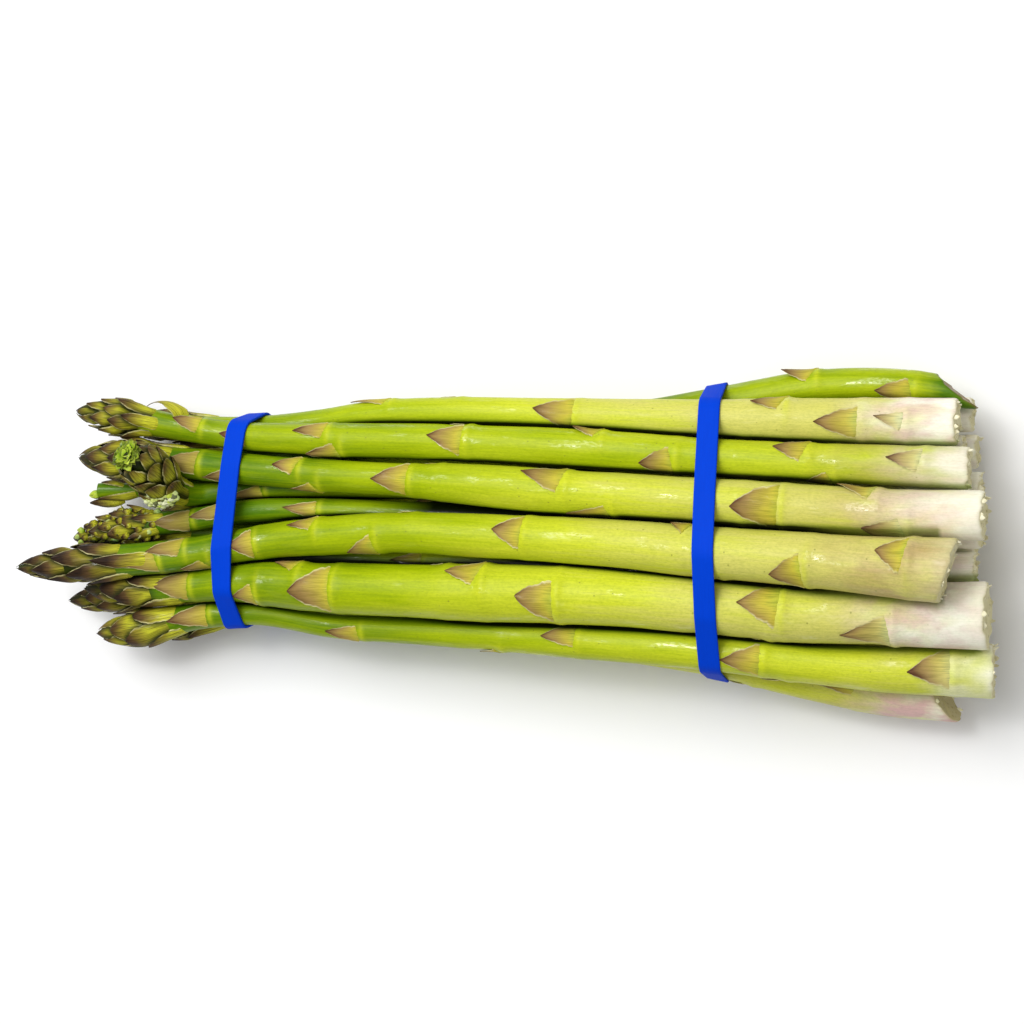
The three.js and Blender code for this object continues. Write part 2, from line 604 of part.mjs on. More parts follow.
// The scales of a head in a spiral, from just below its base to near its tip, shorter as they go.
function headScales(spear, random) {
  if (spear.snapped) return snappedEnd(spear);
  const headLength = spear.length - spear.headStart;
  const count = spear.inner ? SCALE.inner : SCALE.shown;
  const firstAngle = 360 * random();
  return Array.from({ length: count }, (_, i) => {
    const climb = i / (count - 1);
    const start = spear.headStart + mix(...SCALE.starts, climb) * headLength;
    const length = Math.min(mix(...SCALE.lengths, climb), spear.length - start - SCALE.fromEnd);
    return scaleSolid(spear, start, length, firstAngle + i * GOLDEN_ANGLE);
  });
}

// A snapped head leaves the bare stem, with two pointed scales beside the break.
function snappedEnd(spear) {
  return SNAPPED_SCALES.map(([x, degrees, length]) => {
    const start = spear.lengthAt(x);
    const end = Math.min(length, spear.length - start - SCALE.fromEnd);
    const row = (share, across, halfAngle, proud) => (
      { along: end * share, radius: stemRadius(spear, start + end * share) + proud, halfAngle, across });
    const rows = [row(0, 3, 55, -BRACT.sunk), row(0.4, 3, 45, 0.7), row(1, 1, 0, 0.9)];
    return bladeSolid(spear, start, degrees, rows);
  });
}

const FIRST_SEED = 4200;
function spearSolid(spear, index) {
  const random = seededRandom(FIRST_SEED + index);
  const blades = [
    ...spear.bracts.map((bract) => bractSolid(spear, bract)),
    ...spiralBracts(spear, random).map((bract) => bractSolid(spear, bract)),
    ...headScales(spear, random),
  ];
  return blades.reduce((solid, blade) => solid.add(blade), stemSolid(spear));
}

// ---- Bands -------------------------------------------------------------------------------------------

// The x of a band's edge where it passes the point y, z.
const edgeX = (band, edge, y, z) => band.x + band.perY * (y - band.y) + band.perZ * (z - band.z) + edge;

// Where a band's edge crosses each spear: its section there is a circle at y, z.
const CROSSING_PASSES = 3;
function sectionsUnder(band, edge) {
  return spears.map((spear) => {
    const place = (x) => ({ y: spear.routeY(x) + spear.shiftY(x), z: spear.routeZ(x) + spear.shiftZ(x) });
    let x = band.x + edge;
    for (let pass = 0; pass < CROSSING_PASSES; pass += 1) x = edgeX(band, edge, place(x).y, place(x).z);
    return { ...place(x), radius: spear.diameter(x) / 2 };
  });
}

// The tight outline round a band's sections, offset by the gap: direction by direction it follows the
// section that reaches furthest. Each point has its outward normal.
function tightOutline(sections) {
  return Array.from({ length: BAND.directions + 1 }, (_, step) => {
    const angle = (2 * Math.PI * step) / BAND.directions - Math.PI / 2;
    const [ny, nz] = [Math.cos(angle), Math.sin(angle)];
    const reach = (s) => s.y * ny + s.z * nz + s.radius;
    const furthest = sections.reduce((best, s) => (reach(s) > reach(best) ? s : best));
    const out = furthest.radius + BAND.gap;
    return { y: furthest.y + out * ny, z: furthest.z + out * nz, ny, nz };
  });
}

// One edge of a band: its tight outline cut into equal steps, with the outer side one thickness further
// out. Underneath, both sides are pressed flat.
function bandEdge(band, edge) {
  const outline = tightOutline(sectionsUnder(band, edge));
  const lengths = [0];
  for (let i = 1; i < outline.length; i += 1) {
    const step = Math.hypot(outline[i].y - outline[i - 1].y, outline[i].z - outline[i - 1].z);
    lengths.push(lengths[i - 1] + step);
  }
  const place = (y, z) => new THREE.Vector3(edgeX(band, edge, y, z) - CENTRE.x, y - CENTRE.y, z);
  const sides = { inner: [], outer: [] };
  for (let step = 0, i = 0; step < BAND.steps; step += 1) {
    const target = (lengths[lengths.length - 1] * step) / BAND.steps;
    while (lengths[i + 1] <= target) i += 1;
    const t = (target - lengths[i]) / (lengths[i + 1] - lengths[i]);
    const [y, z, ny, nz] = ['y', 'z', 'ny', 'nz'].map((key) => mix(outline[i][key], outline[i + 1][key], t));
    const flat = nz < -Math.cos(radians(BAND.flatWithin));
    sides.inner.push(place(y, flat ? BAND.thickness : Math.max(BAND.thickness, z)));
    sides.outer.push(place(y + BAND.thickness * ny, flat ? 0 : Math.max(0, z + BAND.thickness * nz)));
  }
  return sides;
}

// A band is a ring of four-cornered sections, one for each step round it.
function bandSolid(band) {
  const near = bandEdge(band, -BAND.width / 2);
  const far = bandEdge(band, BAND.width / 2);
  const corners = near.inner.map((_, i) => [near.inner[i], near.outer[i], far.outer[i], far.inner[i]]);
  const triangles = [];
  for (let i = 0; i < BAND.steps; i += 1) {
    const next = (i + 1) % BAND.steps;
    for (let c = 0; c < 4; c += 1) {
      const turn = (c + 1) % 4;
      const [a, b, d, e] = [i * 4 + c, i * 4 + turn, next * 4 + turn, next * 4 + c];
      triangles.push([a, e, d], [a, d, b]);
    }
  }
  return solidFrom(corners.flat(), triangles);
}

// ---- Assembly ----------------------------------------------------------------------------------------

function meshOf(name, solid, material) {
  const { numProp, vertProperties, triVerts } = solid.getMesh();
  const positions = new Float32Array(triVerts.length * 3);
  triVerts.forEach((vertex, i) => {
    for (let axis = 0; axis < 3; axis += 1) positions[i * 3 + axis] = vertProperties[vertex * numProp + axis];
  });
  const geometry = new THREE.BufferGeometry();
  geometry.setAttribute('position', new THREE.BufferAttribute(positions, 3));
  geometry.computeVertexNormals();
  const mesh = new THREE.Mesh(geometry, material);
  mesh.name = name;
  return mesh;
}

const stemSkin = new THREE.MeshStandardMaterial({ color: COLOURS.stem, roughness: 0.45 });
const innerSkin = new THREE.MeshStandardMaterial({ color: COLOURS.innerStem, roughness: 0.5 });
const rubber = new THREE.MeshStandardMaterial({ color: COLOURS.band, roughness: 0.55 });

const bunch = new THREE.Group();
spears.forEach((spear, i) => {
  bunch.add(meshOf(spear.name, spearSolid(spear, i), spear.inner ? innerSkin : stemSkin));
});
BANDS.forEach((band) => bunch.add(meshOf(band.name, bandSolid(band), rubber)));

export default bunch;
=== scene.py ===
"""The looks of a bunch of green asparagus that two rubber bands tie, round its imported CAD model.

All lengths in the plans are millimetres in the frame in which the spears' routes are given, and every mesh
is written in metres in the part's own frame, CENTRE away. X runs along the spears, with the cut butts at +X
and the tips at -X.
"""

from __future__ import annotations

import logging
import math
from dataclasses import dataclass, field
from enum import Enum

import bpy
import mathutils
import numpy as np
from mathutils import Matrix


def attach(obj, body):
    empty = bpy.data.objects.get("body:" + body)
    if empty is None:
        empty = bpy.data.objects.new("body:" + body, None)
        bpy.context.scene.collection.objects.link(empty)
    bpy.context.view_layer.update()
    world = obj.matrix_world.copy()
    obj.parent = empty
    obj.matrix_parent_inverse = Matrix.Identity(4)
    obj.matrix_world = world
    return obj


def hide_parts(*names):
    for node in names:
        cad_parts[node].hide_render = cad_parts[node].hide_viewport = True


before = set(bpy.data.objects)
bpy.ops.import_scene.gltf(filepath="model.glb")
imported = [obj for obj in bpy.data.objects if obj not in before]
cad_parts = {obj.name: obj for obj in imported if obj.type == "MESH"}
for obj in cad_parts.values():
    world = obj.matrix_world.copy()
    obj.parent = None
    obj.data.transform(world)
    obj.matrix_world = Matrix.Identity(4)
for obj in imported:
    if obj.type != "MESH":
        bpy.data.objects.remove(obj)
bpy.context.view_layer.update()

log = logging.getLogger("asparagus")

Array = np.ndarray

CENTRE = (-0.15, -1.21)  # x, y of the part's origin in the frame of the routes
MM = 0.001
GOLDEN_ANGLE = 137.5
LATEST_PHASE = 6.0  # the waves on a blade start anywhere from 0 to this, in radians


# ---- Curves ----


class SmoothCurve:
    """A smooth curve through given points, straight past its ends."""

    def __init__(self, knots: Array, values: Array) -> None:
        """Sorts the points and works out the slope at each.

        Args:
            knots: where the points stand, rising or falling.
            values: the curve's value at each of them.
        """
        order = np.argsort(knots)
        self.knots = np.asarray(knots, float)[order]
        self.values = np.asarray(values, float)[order]
        width = np.diff(self.knots)
        chord = np.diff(self.values) / width
        inner = (chord[:-1] * width[1:] + chord[1:] * width[:-1]) / (width[:-1] + width[1:])
        self.slopes = np.concatenate([chord[:1], inner, chord[-1:]])

    def __call__(self, x: Array | float) -> Array:
        """The curve's values at x: a cubic between two points, that meets both of their slopes.

        Args:
            x: one place or many.

        Returns:
            The values there.
        """
        x = np.asarray(x, float)
        i = np.clip(np.searchsorted(self.knots, x) - 1, 0, len(self.knots) - 2)
        width = self.knots[i + 1] - self.knots[i]
        t = np.clip((x - self.knots[i]) / width, 0, 1)
        rest = 1 - t
        from_first = rest * rest * ((1 + 2 * t) * self.values[i] + t * width * self.slopes[i])
        from_second = t * t * ((3 - 2 * t) * self.values[i + 1] - rest * width * self.slopes[i + 1])
        inside = from_first + from_second
        before = np.minimum(x - self.knots[0], 0) * self.slopes[0]
        after = np.maximum(x - self.knots[-1], 0) * self.slopes[-1]
        return inside + before + after


def smoothstep(low: float, high: float, x: Array | float) -> Array:
    """Rises from 0 at low to 1 at high with flat ends."""
    t = np.clip((np.asarray(x, float) - low) / (high - low), 0, 1)
    return t * t * (3 - 2 * t)


def bell(x: Array, spread: float) -> Array:
    """A bell curve: 1 at zero, falling off over the spread."""
    return np.exp(-((x / spread) ** 2))


def wrapped(degrees: Array) -> Array:
    """An angle between -180 and 180 degrees."""
    return (np.asarray(degrees, float) + 180) % 360 - 180


# ---- The plans of the spears ----


@dataclass(frozen=True)
class HeadStyle:
    """The scales of a head."""

    count: int
    longest: float  # length of the first
    shortest: float  # length of the last
    half_base: float = 42.0  # half the width of the first, in degrees
    half_tip: float = 64.0  # half the width of the last, in degrees
    spread: float = 0.05  # how far every point stands off
    unruly: float = 0.3  # how much further a point may stand off by chance
    bulge: float = 0.42  # how far a scale's middle bulges
    point: float = 0.72  # the power by which a scale narrows to its point
    closing: float = 1.6  # how bluntly the head closes


class HeadKind(Enum):
    """How a spear's head is made up."""

    TIGHT = HeadStyle(19, 11.5, 6.5)
    BROAD = HeadStyle(13, 13.0, 8.5, half_base=50, half_tip=72, point=0.6, bulge=0.5)
    LONG = HeadStyle(21, 13.5, 7.0, half_base=36, half_tip=60, unruly=0.12, point=0.8)
    LOOSE = HeadStyle(26, 9.5, 5.5, half_base=33, half_tip=52, spread=0.4, unruly=0.9, point=0.8)
    BUDDED = HeadStyle(32, 7.5, 4.0, half_base=28, half_tip=48, spread=0.35, unruly=1.1, bulge=0.5)
    ROSETTE = HeadStyle(30, 10.0, 7.0, half_base=40, half_tip=36, spread=0.75, unruly=0.8, bulge=0.6,
                        point=0.55, closing=5.0)
    SNAPPED = HeadStyle(0, 0.0, 0.0)


Row = tuple[float, ...]
Pair = tuple[float, float]
Axes = tuple[Array, Array, Array]  # a point, the direction out of its spear and the one along it


@dataclass(frozen=True)
class SpearPlan:
    """One spear as planned."""

    name: str  # its node
    butt: float  # x of its cut end
    tip: float  # x of its tip
    head_base: float  # x of its head's base
    head_width: float  # its head's greatest width
    girth: tuple[Row, ...]  # rows of x and the diameter there
    route: tuple[Row, ...]  # rows of x, y and z
    # rows of x of the base, degrees round from straight up towards +Y, length, half the width in degrees
    # and, where it isn't 0, how far the point flares
    bracts: tuple[Row, ...] = ()
    cut: Pair = (0.0, 0.0)  # how steeply the cut slants, towards +Y and upwards
    head: HeadKind = HeadKind.TIGHT  # what its head is made up of
    inner: bool = False  # whether it is hidden inside the bunch
    pale_from: float = 88.0  # x from which it pales towards its butt
    blush: float = 0.5  # how mauve its butt is
    purple: float = 0.6  # how purple the scales of its head are
    greener: float = 0.0  # how much greener it is than the others
    even: float = 0.0  # 1 for the same green from end to end
    withered: float = 0.0  # how dried its cut end is
    tan: float = 0.0  # how tanned it is towards its butt
    fibres: int = 9  # how many torn fibres stand out of the cut
    buried_in_shade: Row = ()  # from where to where along x it sinks under others and is painted in deep shade, if it does

    @property
    def snapped(self) -> bool:
        """Whether the head is broken off."""
        return self.head is HeadKind.SNAPPED


INNER_HEAD = (20, 6.8)  # length and width
INNER_GIRTH = ((118, 8.2), (57, 7.7), (0, 7), (-65, 5.3), (-90, 5.4))


def inner_plan(name: str, butt: float, tip: float, at_butts: Row, at_tips: Row, at_tip: Row) -> SpearPlan:
    """A spear inside the bunch, from where it passes the two bands and where its tip is.

    Args:
        name: the spear's node.
        butt: x of its cut end.
        tip: x of its tip.
        at_butts: y, z from the butts' band to the butt.
        at_tips: y, z at the tips' band.
        at_tip: y, z of the tip.

    Returns:
        Its plan.
    """
    length, width = INNER_HEAD
    route = ((120, *at_butts), (57, *at_butts), (-65, *at_tips), (tip, *at_tip))
    return SpearPlan(name, butt, tip, tip + length, width, INNER_GIRTH, route, inner=True, blush=0.35)


PLANS: tuple[SpearPlan, ...] = (
    SpearPlan(
        "spear_01", 116.5, -101, -80, 7.6,
        ((118, 11.2), (100, 10.9), (80, 10.2), (57, 9), (20, 7.6), (-20, 6.8), (-65, 5.6), (-80, 5.4)),
        ((120, 27.3, 26), (80, 28.3, 27), (57, 29, 27.5), (20, 30.3, 26.5), (-10, 31.3, 25),
         (-30, 30.8, 22.5), (-45, 29, 19.5), (-65, 27.3, 17.2), (-85, 27.7, 14.5), (-101, 28.5, 13.5)),
        ((-25.6, 80, 10.5, 40), (23.2, 5, 10.4, 62), (55.3, -80, 5.7, 25), (75, 60, 8, 35),
         (93.4, -5, 10.6, 46), (104.2, 0, 7, 22)),
        pale_from=86, blush=0.7, greener=-0.12,
    ),
    SpearPlan(
        "spear_02", 119.8, -110.5, -89.5, 8.8,
        ((118, 9.9), (80, 9), (57, 9), (20, 9.3), (0, 8.8), (-40, 8.1), (-65, 6.9), (-80, 6.2), (-89.5, 6.4)),
        ((120, 16.5, 29.5), (80, 18.4, 30.5), (57, 19.7, 31), (20, 22.3, 31), (-20, 24, 29),
         (-45, 24.6, 26.5), (-65, 25.5, 24), (-80, 27.4, 23), (-95, 29.9, 23), (-110, 32, 23)),
        ((-81.5, 70, 10.0, 25, 2.3), (-75.7, 30, 7.5, 40, 0.5), (-62.2, 0, 7.5, 46), (-40.5, 40, 8.7, 35),
         (-36.8, -50, 8.6, 40, 0.7), (-4.1, 15, 9, 57), (30.2, 75, 7, 35, 0.6), (48.8, -25, 8, 50),
         (81, 45, 8, 45), (87.4, -60, 6, 35), (108.8, 20, 8.3, 36)),
        head=HeadKind.LOOSE, pale_from=94, blush=0.25, purple=0.55, greener=0.12, even=0.6, tan=0.6,
    ),
    SpearPlan(
        "spear_03", 123.7, -110.5, -86.5, 11.4,
        ((118, 11.7), (80, 11.4), (57, 10.8), (37, 10.5), (10, 10.6), (-7, 9.6), (-16, 8.4), (-40, 7.8),
         (-65, 7.6), (-86.5, 7.8)),
        ((124, 5.8, 33.5), (100, 6.3, 34), (80, 7.6, 34.5), (57, 9.2, 34.5), (37, 10.6, 34),
         (17, 11.7, 33.3), (-7, 13.7, 31.4), (-20, 14.6, 30.3), (-40, 15.7, 28), (-65, 17.7, 24.5),
         (-80, 19.3, 22.3), (-95, 20.2, 20.5), (-110, 21, 20)),
        ((-75.4, 5, 9.4, 48), (-65.2, -35, 8.5, 40), (-47.8, 35, 6.5, 40), (-42.5, -60, 7, 32),
         (-17.8, 5, 9.5, 65), (22.3, 40, 11, 45), (34.1, -60, 11, 30), (75.6, 0, 11.6, 66),
         (98, 70, 9.6, 40), (105.5, -45, 10, 36)),
        head=HeadKind.LONG, pale_from=90, blush=0.5, purple=0.68, tan=0.75,
    ),
    SpearPlan(
        "spear_04", 116.4, -125.3, -94.5, 9.8,
        ((114, 15.2), (100, 13.8), (80, 12.6), (57, 12.1), (20, 10.9), (0, 10.5), (-20, 9.8), (-40, 9.4),
         (-65, 8), (-94.5, 8)),
        ((114, -7.5, 40), (100, -6.4, 39.5), (80, -4.7, 38.5), (57, -2.9, 37), (37, -1, 35.8), (20, 0, 34.5),
         (0, 1, 33), (-20, 1.9, 31.5), (-40, 1, 28.5), (-55, -0.3, 26.5), (-65, -1.8, 26.5),
         (-80, -4.3, 26.8), (-95, -5.8, 27.5), (-110, -6.8, 27), (-125.3, -7.8, 26.5)),
        ((-85.5, -15, 9.7, 42), (-78.5, 35, 9.7, 40), (-72.7, -60, 7.2, 30), (-59.7, 0, 6.6, 55),
         (-42.5, 50, 7.1, 30), (-26.1, -45, 7.8, 42), (12.4, 20, 7.3, 50), (53.6, 65, 5, 25),
         (82.8, -30, 7.9, 45), (107.1, 30, 7.1, 42)),
        head=HeadKind.LONG, cut=(0.22, 0.1), pale_from=104, blush=0.15, purple=0.9, greener=-0.06, tan=1.0,
    ),
    SpearPlan(
        "spear_05", 123.9, -109, -86, 9,
        ((118, 15.6), (100, 14.5), (80, 13.8), (40, 13.3), (0, 13.7), (-20, 12.6), (-40, 12), (-55, 10.8),
         (-65, 9.2), (-80, 7.8), (-86, 7.6)),
        ((124, -16.9, 28.5), (100, -17.1, 30), (80, -17.2, 31.5), (57, -15.7, 32.5), (20, -13.4, 32.5),
         (-20, -12.8, 30.5), (-40, -12.2, 28), (-65, -11.3, 25), (-80, -12.3, 22.8), (-95, -13, 21),
         (-109, -12.9, 21)),
        ((-77.8, 5, 10.2, 62), (-59, -35, 6.6, 36), (-48.1, 70, 6.3, 28), (-37.8, 0, 11.2, 64),
         (1.3, 50, 8.9, 34), (20.3, -15, 9.3, 46), (75, 20, 10.1, 54), (101.2, -35, 11.9, 36)),
        head=HeadKind.BROAD, pale_from=88, blush=0.8, purple=0.72, greener=-0.04,
    ),
    SpearPlan(
        "spear_06", 124.4, -107, -86, 9.4,
        ((118, 12.3), (100, 10.9), (80, 9.7), (57, 9), (20, 8.3), (0, 7.4), (-20, 6.5), (-40, 5.7),
         (-65, 5.7), (-86, 7)),
        ((124, -31, 22.5), (100, -31, 24.5), (80, -29.5, 26.5), (57, -27.2, 28), (20, -24.7, 27),
         (-20, -22.8, 24), (-40, -21.9, 22), (-65, -18.3, 19.5), (-80, -19.5, 18), (-95, -22.6, 16.8),
         (-107, -24.2, 16.8)),
        ((-74.5, 0, 11.3, 58), (-33.4, -30, 8.7, 45), (3.5, -90, 5.6, 28), (23.8, 20, 8.6, 40),
         (69.3, -10, 9.8, 54), (114.5, 10, 10.4, 54)),
        head=HeadKind.BROAD, pale_from=103, blush=0.1, purple=0.55, greener=0.1, even=0.4,
    ),
    SpearPlan(
        "spear_07", 115.2, -97, -77, 7.4,
        ((118, 7), (100, 8), (57, 8.2), (0, 6.8), (-65, 6), (-77, 6)),
        ((117, 35, 19), (100, 37.1, 19), (80, 36.7, 19), (57, 32.9, 18.7), (40, 30.3, 19), (20, 28.5, 18.5),
         (-20, 25.5, 17), (-65, 20.9, 15.8), (-97, 21.5, 15)),
        ((81, 60, 7.4, 42, 1.2), (105, -25, 9, 52, 0.6)),
        cut=(-1.5, 0), pale_from=160, blush=0, greener=0.64, withered=1.0, fibres=0,
    ),
    SpearPlan(
        "spear_08", 117, -107, -88, 4,
        ((118, 8.4), (57, 8), (0, 6.6), (-65, 4.4), (-107, 3.6)),
        ((117, 20.5, 20.5), (57, 21, 21), (20, 20, 21), (-20, 18, 19.5), (-45, 15.5, 17),
         (-65, 13.8, 14.5), (-80, 12.8, 14.5), (-107, 12, 16)),
        head=HeadKind.SNAPPED,
    ),
    SpearPlan(
        "spear_09", 121.5, -88.7, -81.5, 10.5,
        ((118, 8.4), (57, 8), (0, 7), (-65, 5.6), (-89, 5.6)),
        ((121, 11.5, 22), (57, 12.5, 22.5), (20, 13, 22.5), (-20, 13.5, 21.5), (-45, 12.8, 20),
         (-65, 12.1, 20), (-73, 11.1, 20), (-78, 10.3, 22), (-81, 11, 26), (-83.5, 13.4, 31),
         (-86, 17.4, 37), (-88.7, 20.8, 44)),
        ((-60, -30, 9, 45),),
        head=HeadKind.ROSETTE, purple=0.35,
    ),
    SpearPlan(
        "spear_10", 121.5, -112, -87.5, 8.8,
        ((118, 8.8), (57, 8.4), (0, 7), (-20, 6), (-65, 5.5), (-87.5, 5.6)),
        ((121, 2.5, 22.5), (57, 2.8, 23), (20, 4.5, 24), (-20, 6.4, 24.5), (-40, 7.4, 24), (-65, 7.3, 22.5),
         (-80, 5.2, 21.5), (-95, 3.2, 20.5), (-112, 0, 20.5)),
        ((-78.3, -5, 10, 60), (-70.9, 20, 7.2, 42), (-44.2, 0, 9, 46)),
        head=HeadKind.BUDDED, purple=0.7, greener=0.04, buried_in_shade=(-34, -8),
    ),
    SpearPlan(
        "spear_11", 120, -117, -95, 8.2,
        ((118, 8.6), (57, 8.2), (0, 7.2), (-65, 6), (-94, 6)),
        ((120, -7, 22.5), (57, -8, 23), (20, -7.3, 23.5), (0, -5.7, 23.5), (-20, -5.4, 23),
         (-55, -5.9, 19.5), (-65, -6.7, 17.5), (-80, -10, 15), (-95, -14, 12.5), (-117, -16.5, 12)),
        ((-16.6, 0, 8.3, 30),),
        purple=0.7, buried_in_shade=(-6, 12),
    ),
    SpearPlan(
        "spear_13", 111, -98, -79, 7.6,
        ((115, 11), (100, 10.6), (57, 9), (0, 7.5), (-65, 6), (-79, 6)),
        ((111, -38.4, 12.5), (97, -37.4, 13), (80, -34.4, 15), (57, -29.3, 17), (20, -24.5, 17),
         (-20, -20, 14.5), (-65, -16, 12), (-80, -20, 10.5), (-98, -23, 9.5)),
        ((90, 10, 12, 30),),
        cut=(-0.7, -0.3), pale_from=84, blush=1.3, greener=0.1, withered=0.45, tan=0.9, fibres=7,
    ),
    inner_plan("spear_12", 119, -82, (-17.5, 16.5), (-12.5, 14.5), (-15, 12)),
    inner_plan("spear_14", 118, -99, (27, 11.5), (24.5, 10.5), (27, 8)),
    inner_plan("spear_15", 119, -97, (18.5, 12.5), (17.8, 6.8), (19.5, 6)),
    inner_plan("spear_16", 117, -92, (10, 13.5), (6.5, 14), (5, 13.5)),
    inner_plan("spear_17", 119, -106, (1, 13.5), (0, 13.5), (-3, 13.5)),
    inner_plan("spear_18", 116, -94, (-8.5, 13.5), (-5, 10.3), (-7, 10)),
    inner_plan("spear_19", 117, -92, (-25.5, 10.5), (-14.5, 7), (-18, 5.6)),
    inner_plan("spear_20", 115, -90, (15, 5.6), (11, 4.6), (11.5, 6)),
    inner_plan("spear_21", 117, -94, (5.5, 5.6), (4.3, 4.5), (3.5, 5.6)),
    inner_plan("spear_22", 116, -99, (-4, 5.6), (-2.3, 4.5), (-4, 5.4)),
    inner_plan("spear_23", 118, -90, (-14, 5.6), (-8.8, 4.6), (-11, 5.4)),
)


# ---- Settling ----

HEAD_WIDEST_AT = 0.34  # as a share of the head's length
HEAD_ARCH = 0.75  # the power that rounds its arch


def head_radius(t: Array, neck: float, widest: float, closing: float) -> Array:
    """A head's outline from its base to its tip: it swells to its widest and closes in a pointed arch,
    (1 - c^closing)^arch at the share c of the way from its widest to its tip.

    Args:
        t: place along the head, 0 at its base and 1 at its tip.
        neck: radius at the base.
        widest: the largest radius.
        closing: how bluntly it closes.

    Returns:
        The radius at each place.
    """
    t = np.clip(t, 0, 1)
    swell = neck + (widest - neck) * smoothstep(0, HEAD_WIDEST_AT, t)
    close = np.clip((t - HEAD_WIDEST_AT) / (1 - HEAD_WIDEST_AT), 0, 1)
    return np.where(t <= HEAD_WIDEST_AT, swell, widest * (1 - close**closing) ** HEAD_ARCH)


@dataclass(frozen=True)
class Settling:
    """How the planned spears are moved apart until their skins clear each other and the floor."""

    clearance: float = 0.92  # the gap from skin to skin
    floor: float = 1.6  # the lowest that a skin comes
    first: float = 124  # x of the first station
    step: float = 8
    count: int = 32
    rounds: int = 1200
    firm_rounds: int = 400  # how many of them, at the end, no longer pull a spear back to its route
    push: float = 0.84  # share of an overlap that a round eases
    pull: float = 0.03  # share of a spear's shift that a round takes back
    smooth: float = 0.25  # share of the way to its neighbours' mean shift that a station moves in a round
    firm_smooth: float = 0.04  # the same in the firm rounds
    shown_yield: float = 0.12  # a shown spear's share of the move where it meets an inner one
    # share of a shown spear's move that it makes across, as all of it is made up or down
    sideways: float = 0.4
    scale_room: float = 0.3  # how far a head's scales stand out of its outline

    def room(self, plan: SpearPlan, x: Array) -> Array:
        """The radius that a spear needs at each station.

        Args:
            plan: the spear's plan.
            x: the stations.

        Returns:
            The radii, 0 past its ends.
        """
        stem = SmoothCurve(*np.array(plan.girth).T)
        radius = stem(x) / 2
        if not plan.snapped:
            t = (plan.head_base - x) / (plan.head_base - plan.tip)
            neck, widest = float(stem(plan.head_base)) / 2, plan.head_width / 2
            head = head_radius(t, neck, widest, plan.head.value.closing) + self.scale_room
            radius = np.where(x > plan.head_base, radius, head)
        outside = (x > plan.butt + self.step / 2) | (x < plan.tip - self.step / 2)
        return np.where(outside, 0, radius)

    def settle(self, plans: tuple[SpearPlan, ...]) -> tuple[Array, Array]:
        """Moves the spears apart, station by station along x. Each round eases every overlap by moving
        both spears, keeps each spear's shift smooth along its length, and, until the last rounds, pulls it
        back towards its route.

        Args:
            plans: the spears.

        Returns:
            The stations' x, and the shift of each spear at each station as (y, z).
        """
        stations = self.first - self.step * np.arange(self.count)
        routes = np.stack([
            np.stack([SmoothCurve(*np.array(p.route).T[[0, axis]])(stations) for axis in (1, 2)], axis=-1)
            for p in plans
        ])
        rooms = np.stack([self.room(p, stations) for p in plans])
        inner = np.array([p.inner for p in plans])
        unlike_share = np.where(inner[:, None], 1 - self.shown_yield, self.shown_yield)
        own_share = np.where(inner[:, None] == inner[None], 0.5, unlike_share)
        both = (rooms[:, None] > 0) & (rooms[None] > 0) & ~np.eye(len(plans), dtype=bool)[..., None]
        reach = rooms[:, None] + rooms[None] + self.clearance
        places = routes.copy()
        for turn in range(self.rounds):
            firm = turn >= self.rounds - self.firm_rounds
            pull, smooth = (0.0, self.firm_smooth) if firm else (self.pull, self.smooth)
            apart = places[:, None] - places[None]
            distance = np.maximum(np.hypot(apart[..., 0], apart[..., 1]), 1e-9)
            lack = np.where(both, np.maximum(reach - distance, 0), 0)
            share = self.push * lack / distance * own_share[..., None]
            moves = (apart * share[..., None]).sum(axis=1)
            moves[..., 0] *= np.where(inner, 1.0, self.sideways)[:, None]
            shifts = places - routes
            before = np.concatenate([shifts[:, :1], shifts[:, :-1]], axis=1)
            after = np.concatenate([shifts[:, 1:], shifts[:, -1:]], axis=1)
            places += moves + smooth * ((before + after) / 2 - shifts) - pull * shifts
            places[..., 1] = np.maximum(places[..., 1], self.floor + rooms)
        return stations, places - routes


# ---- Meshes ----


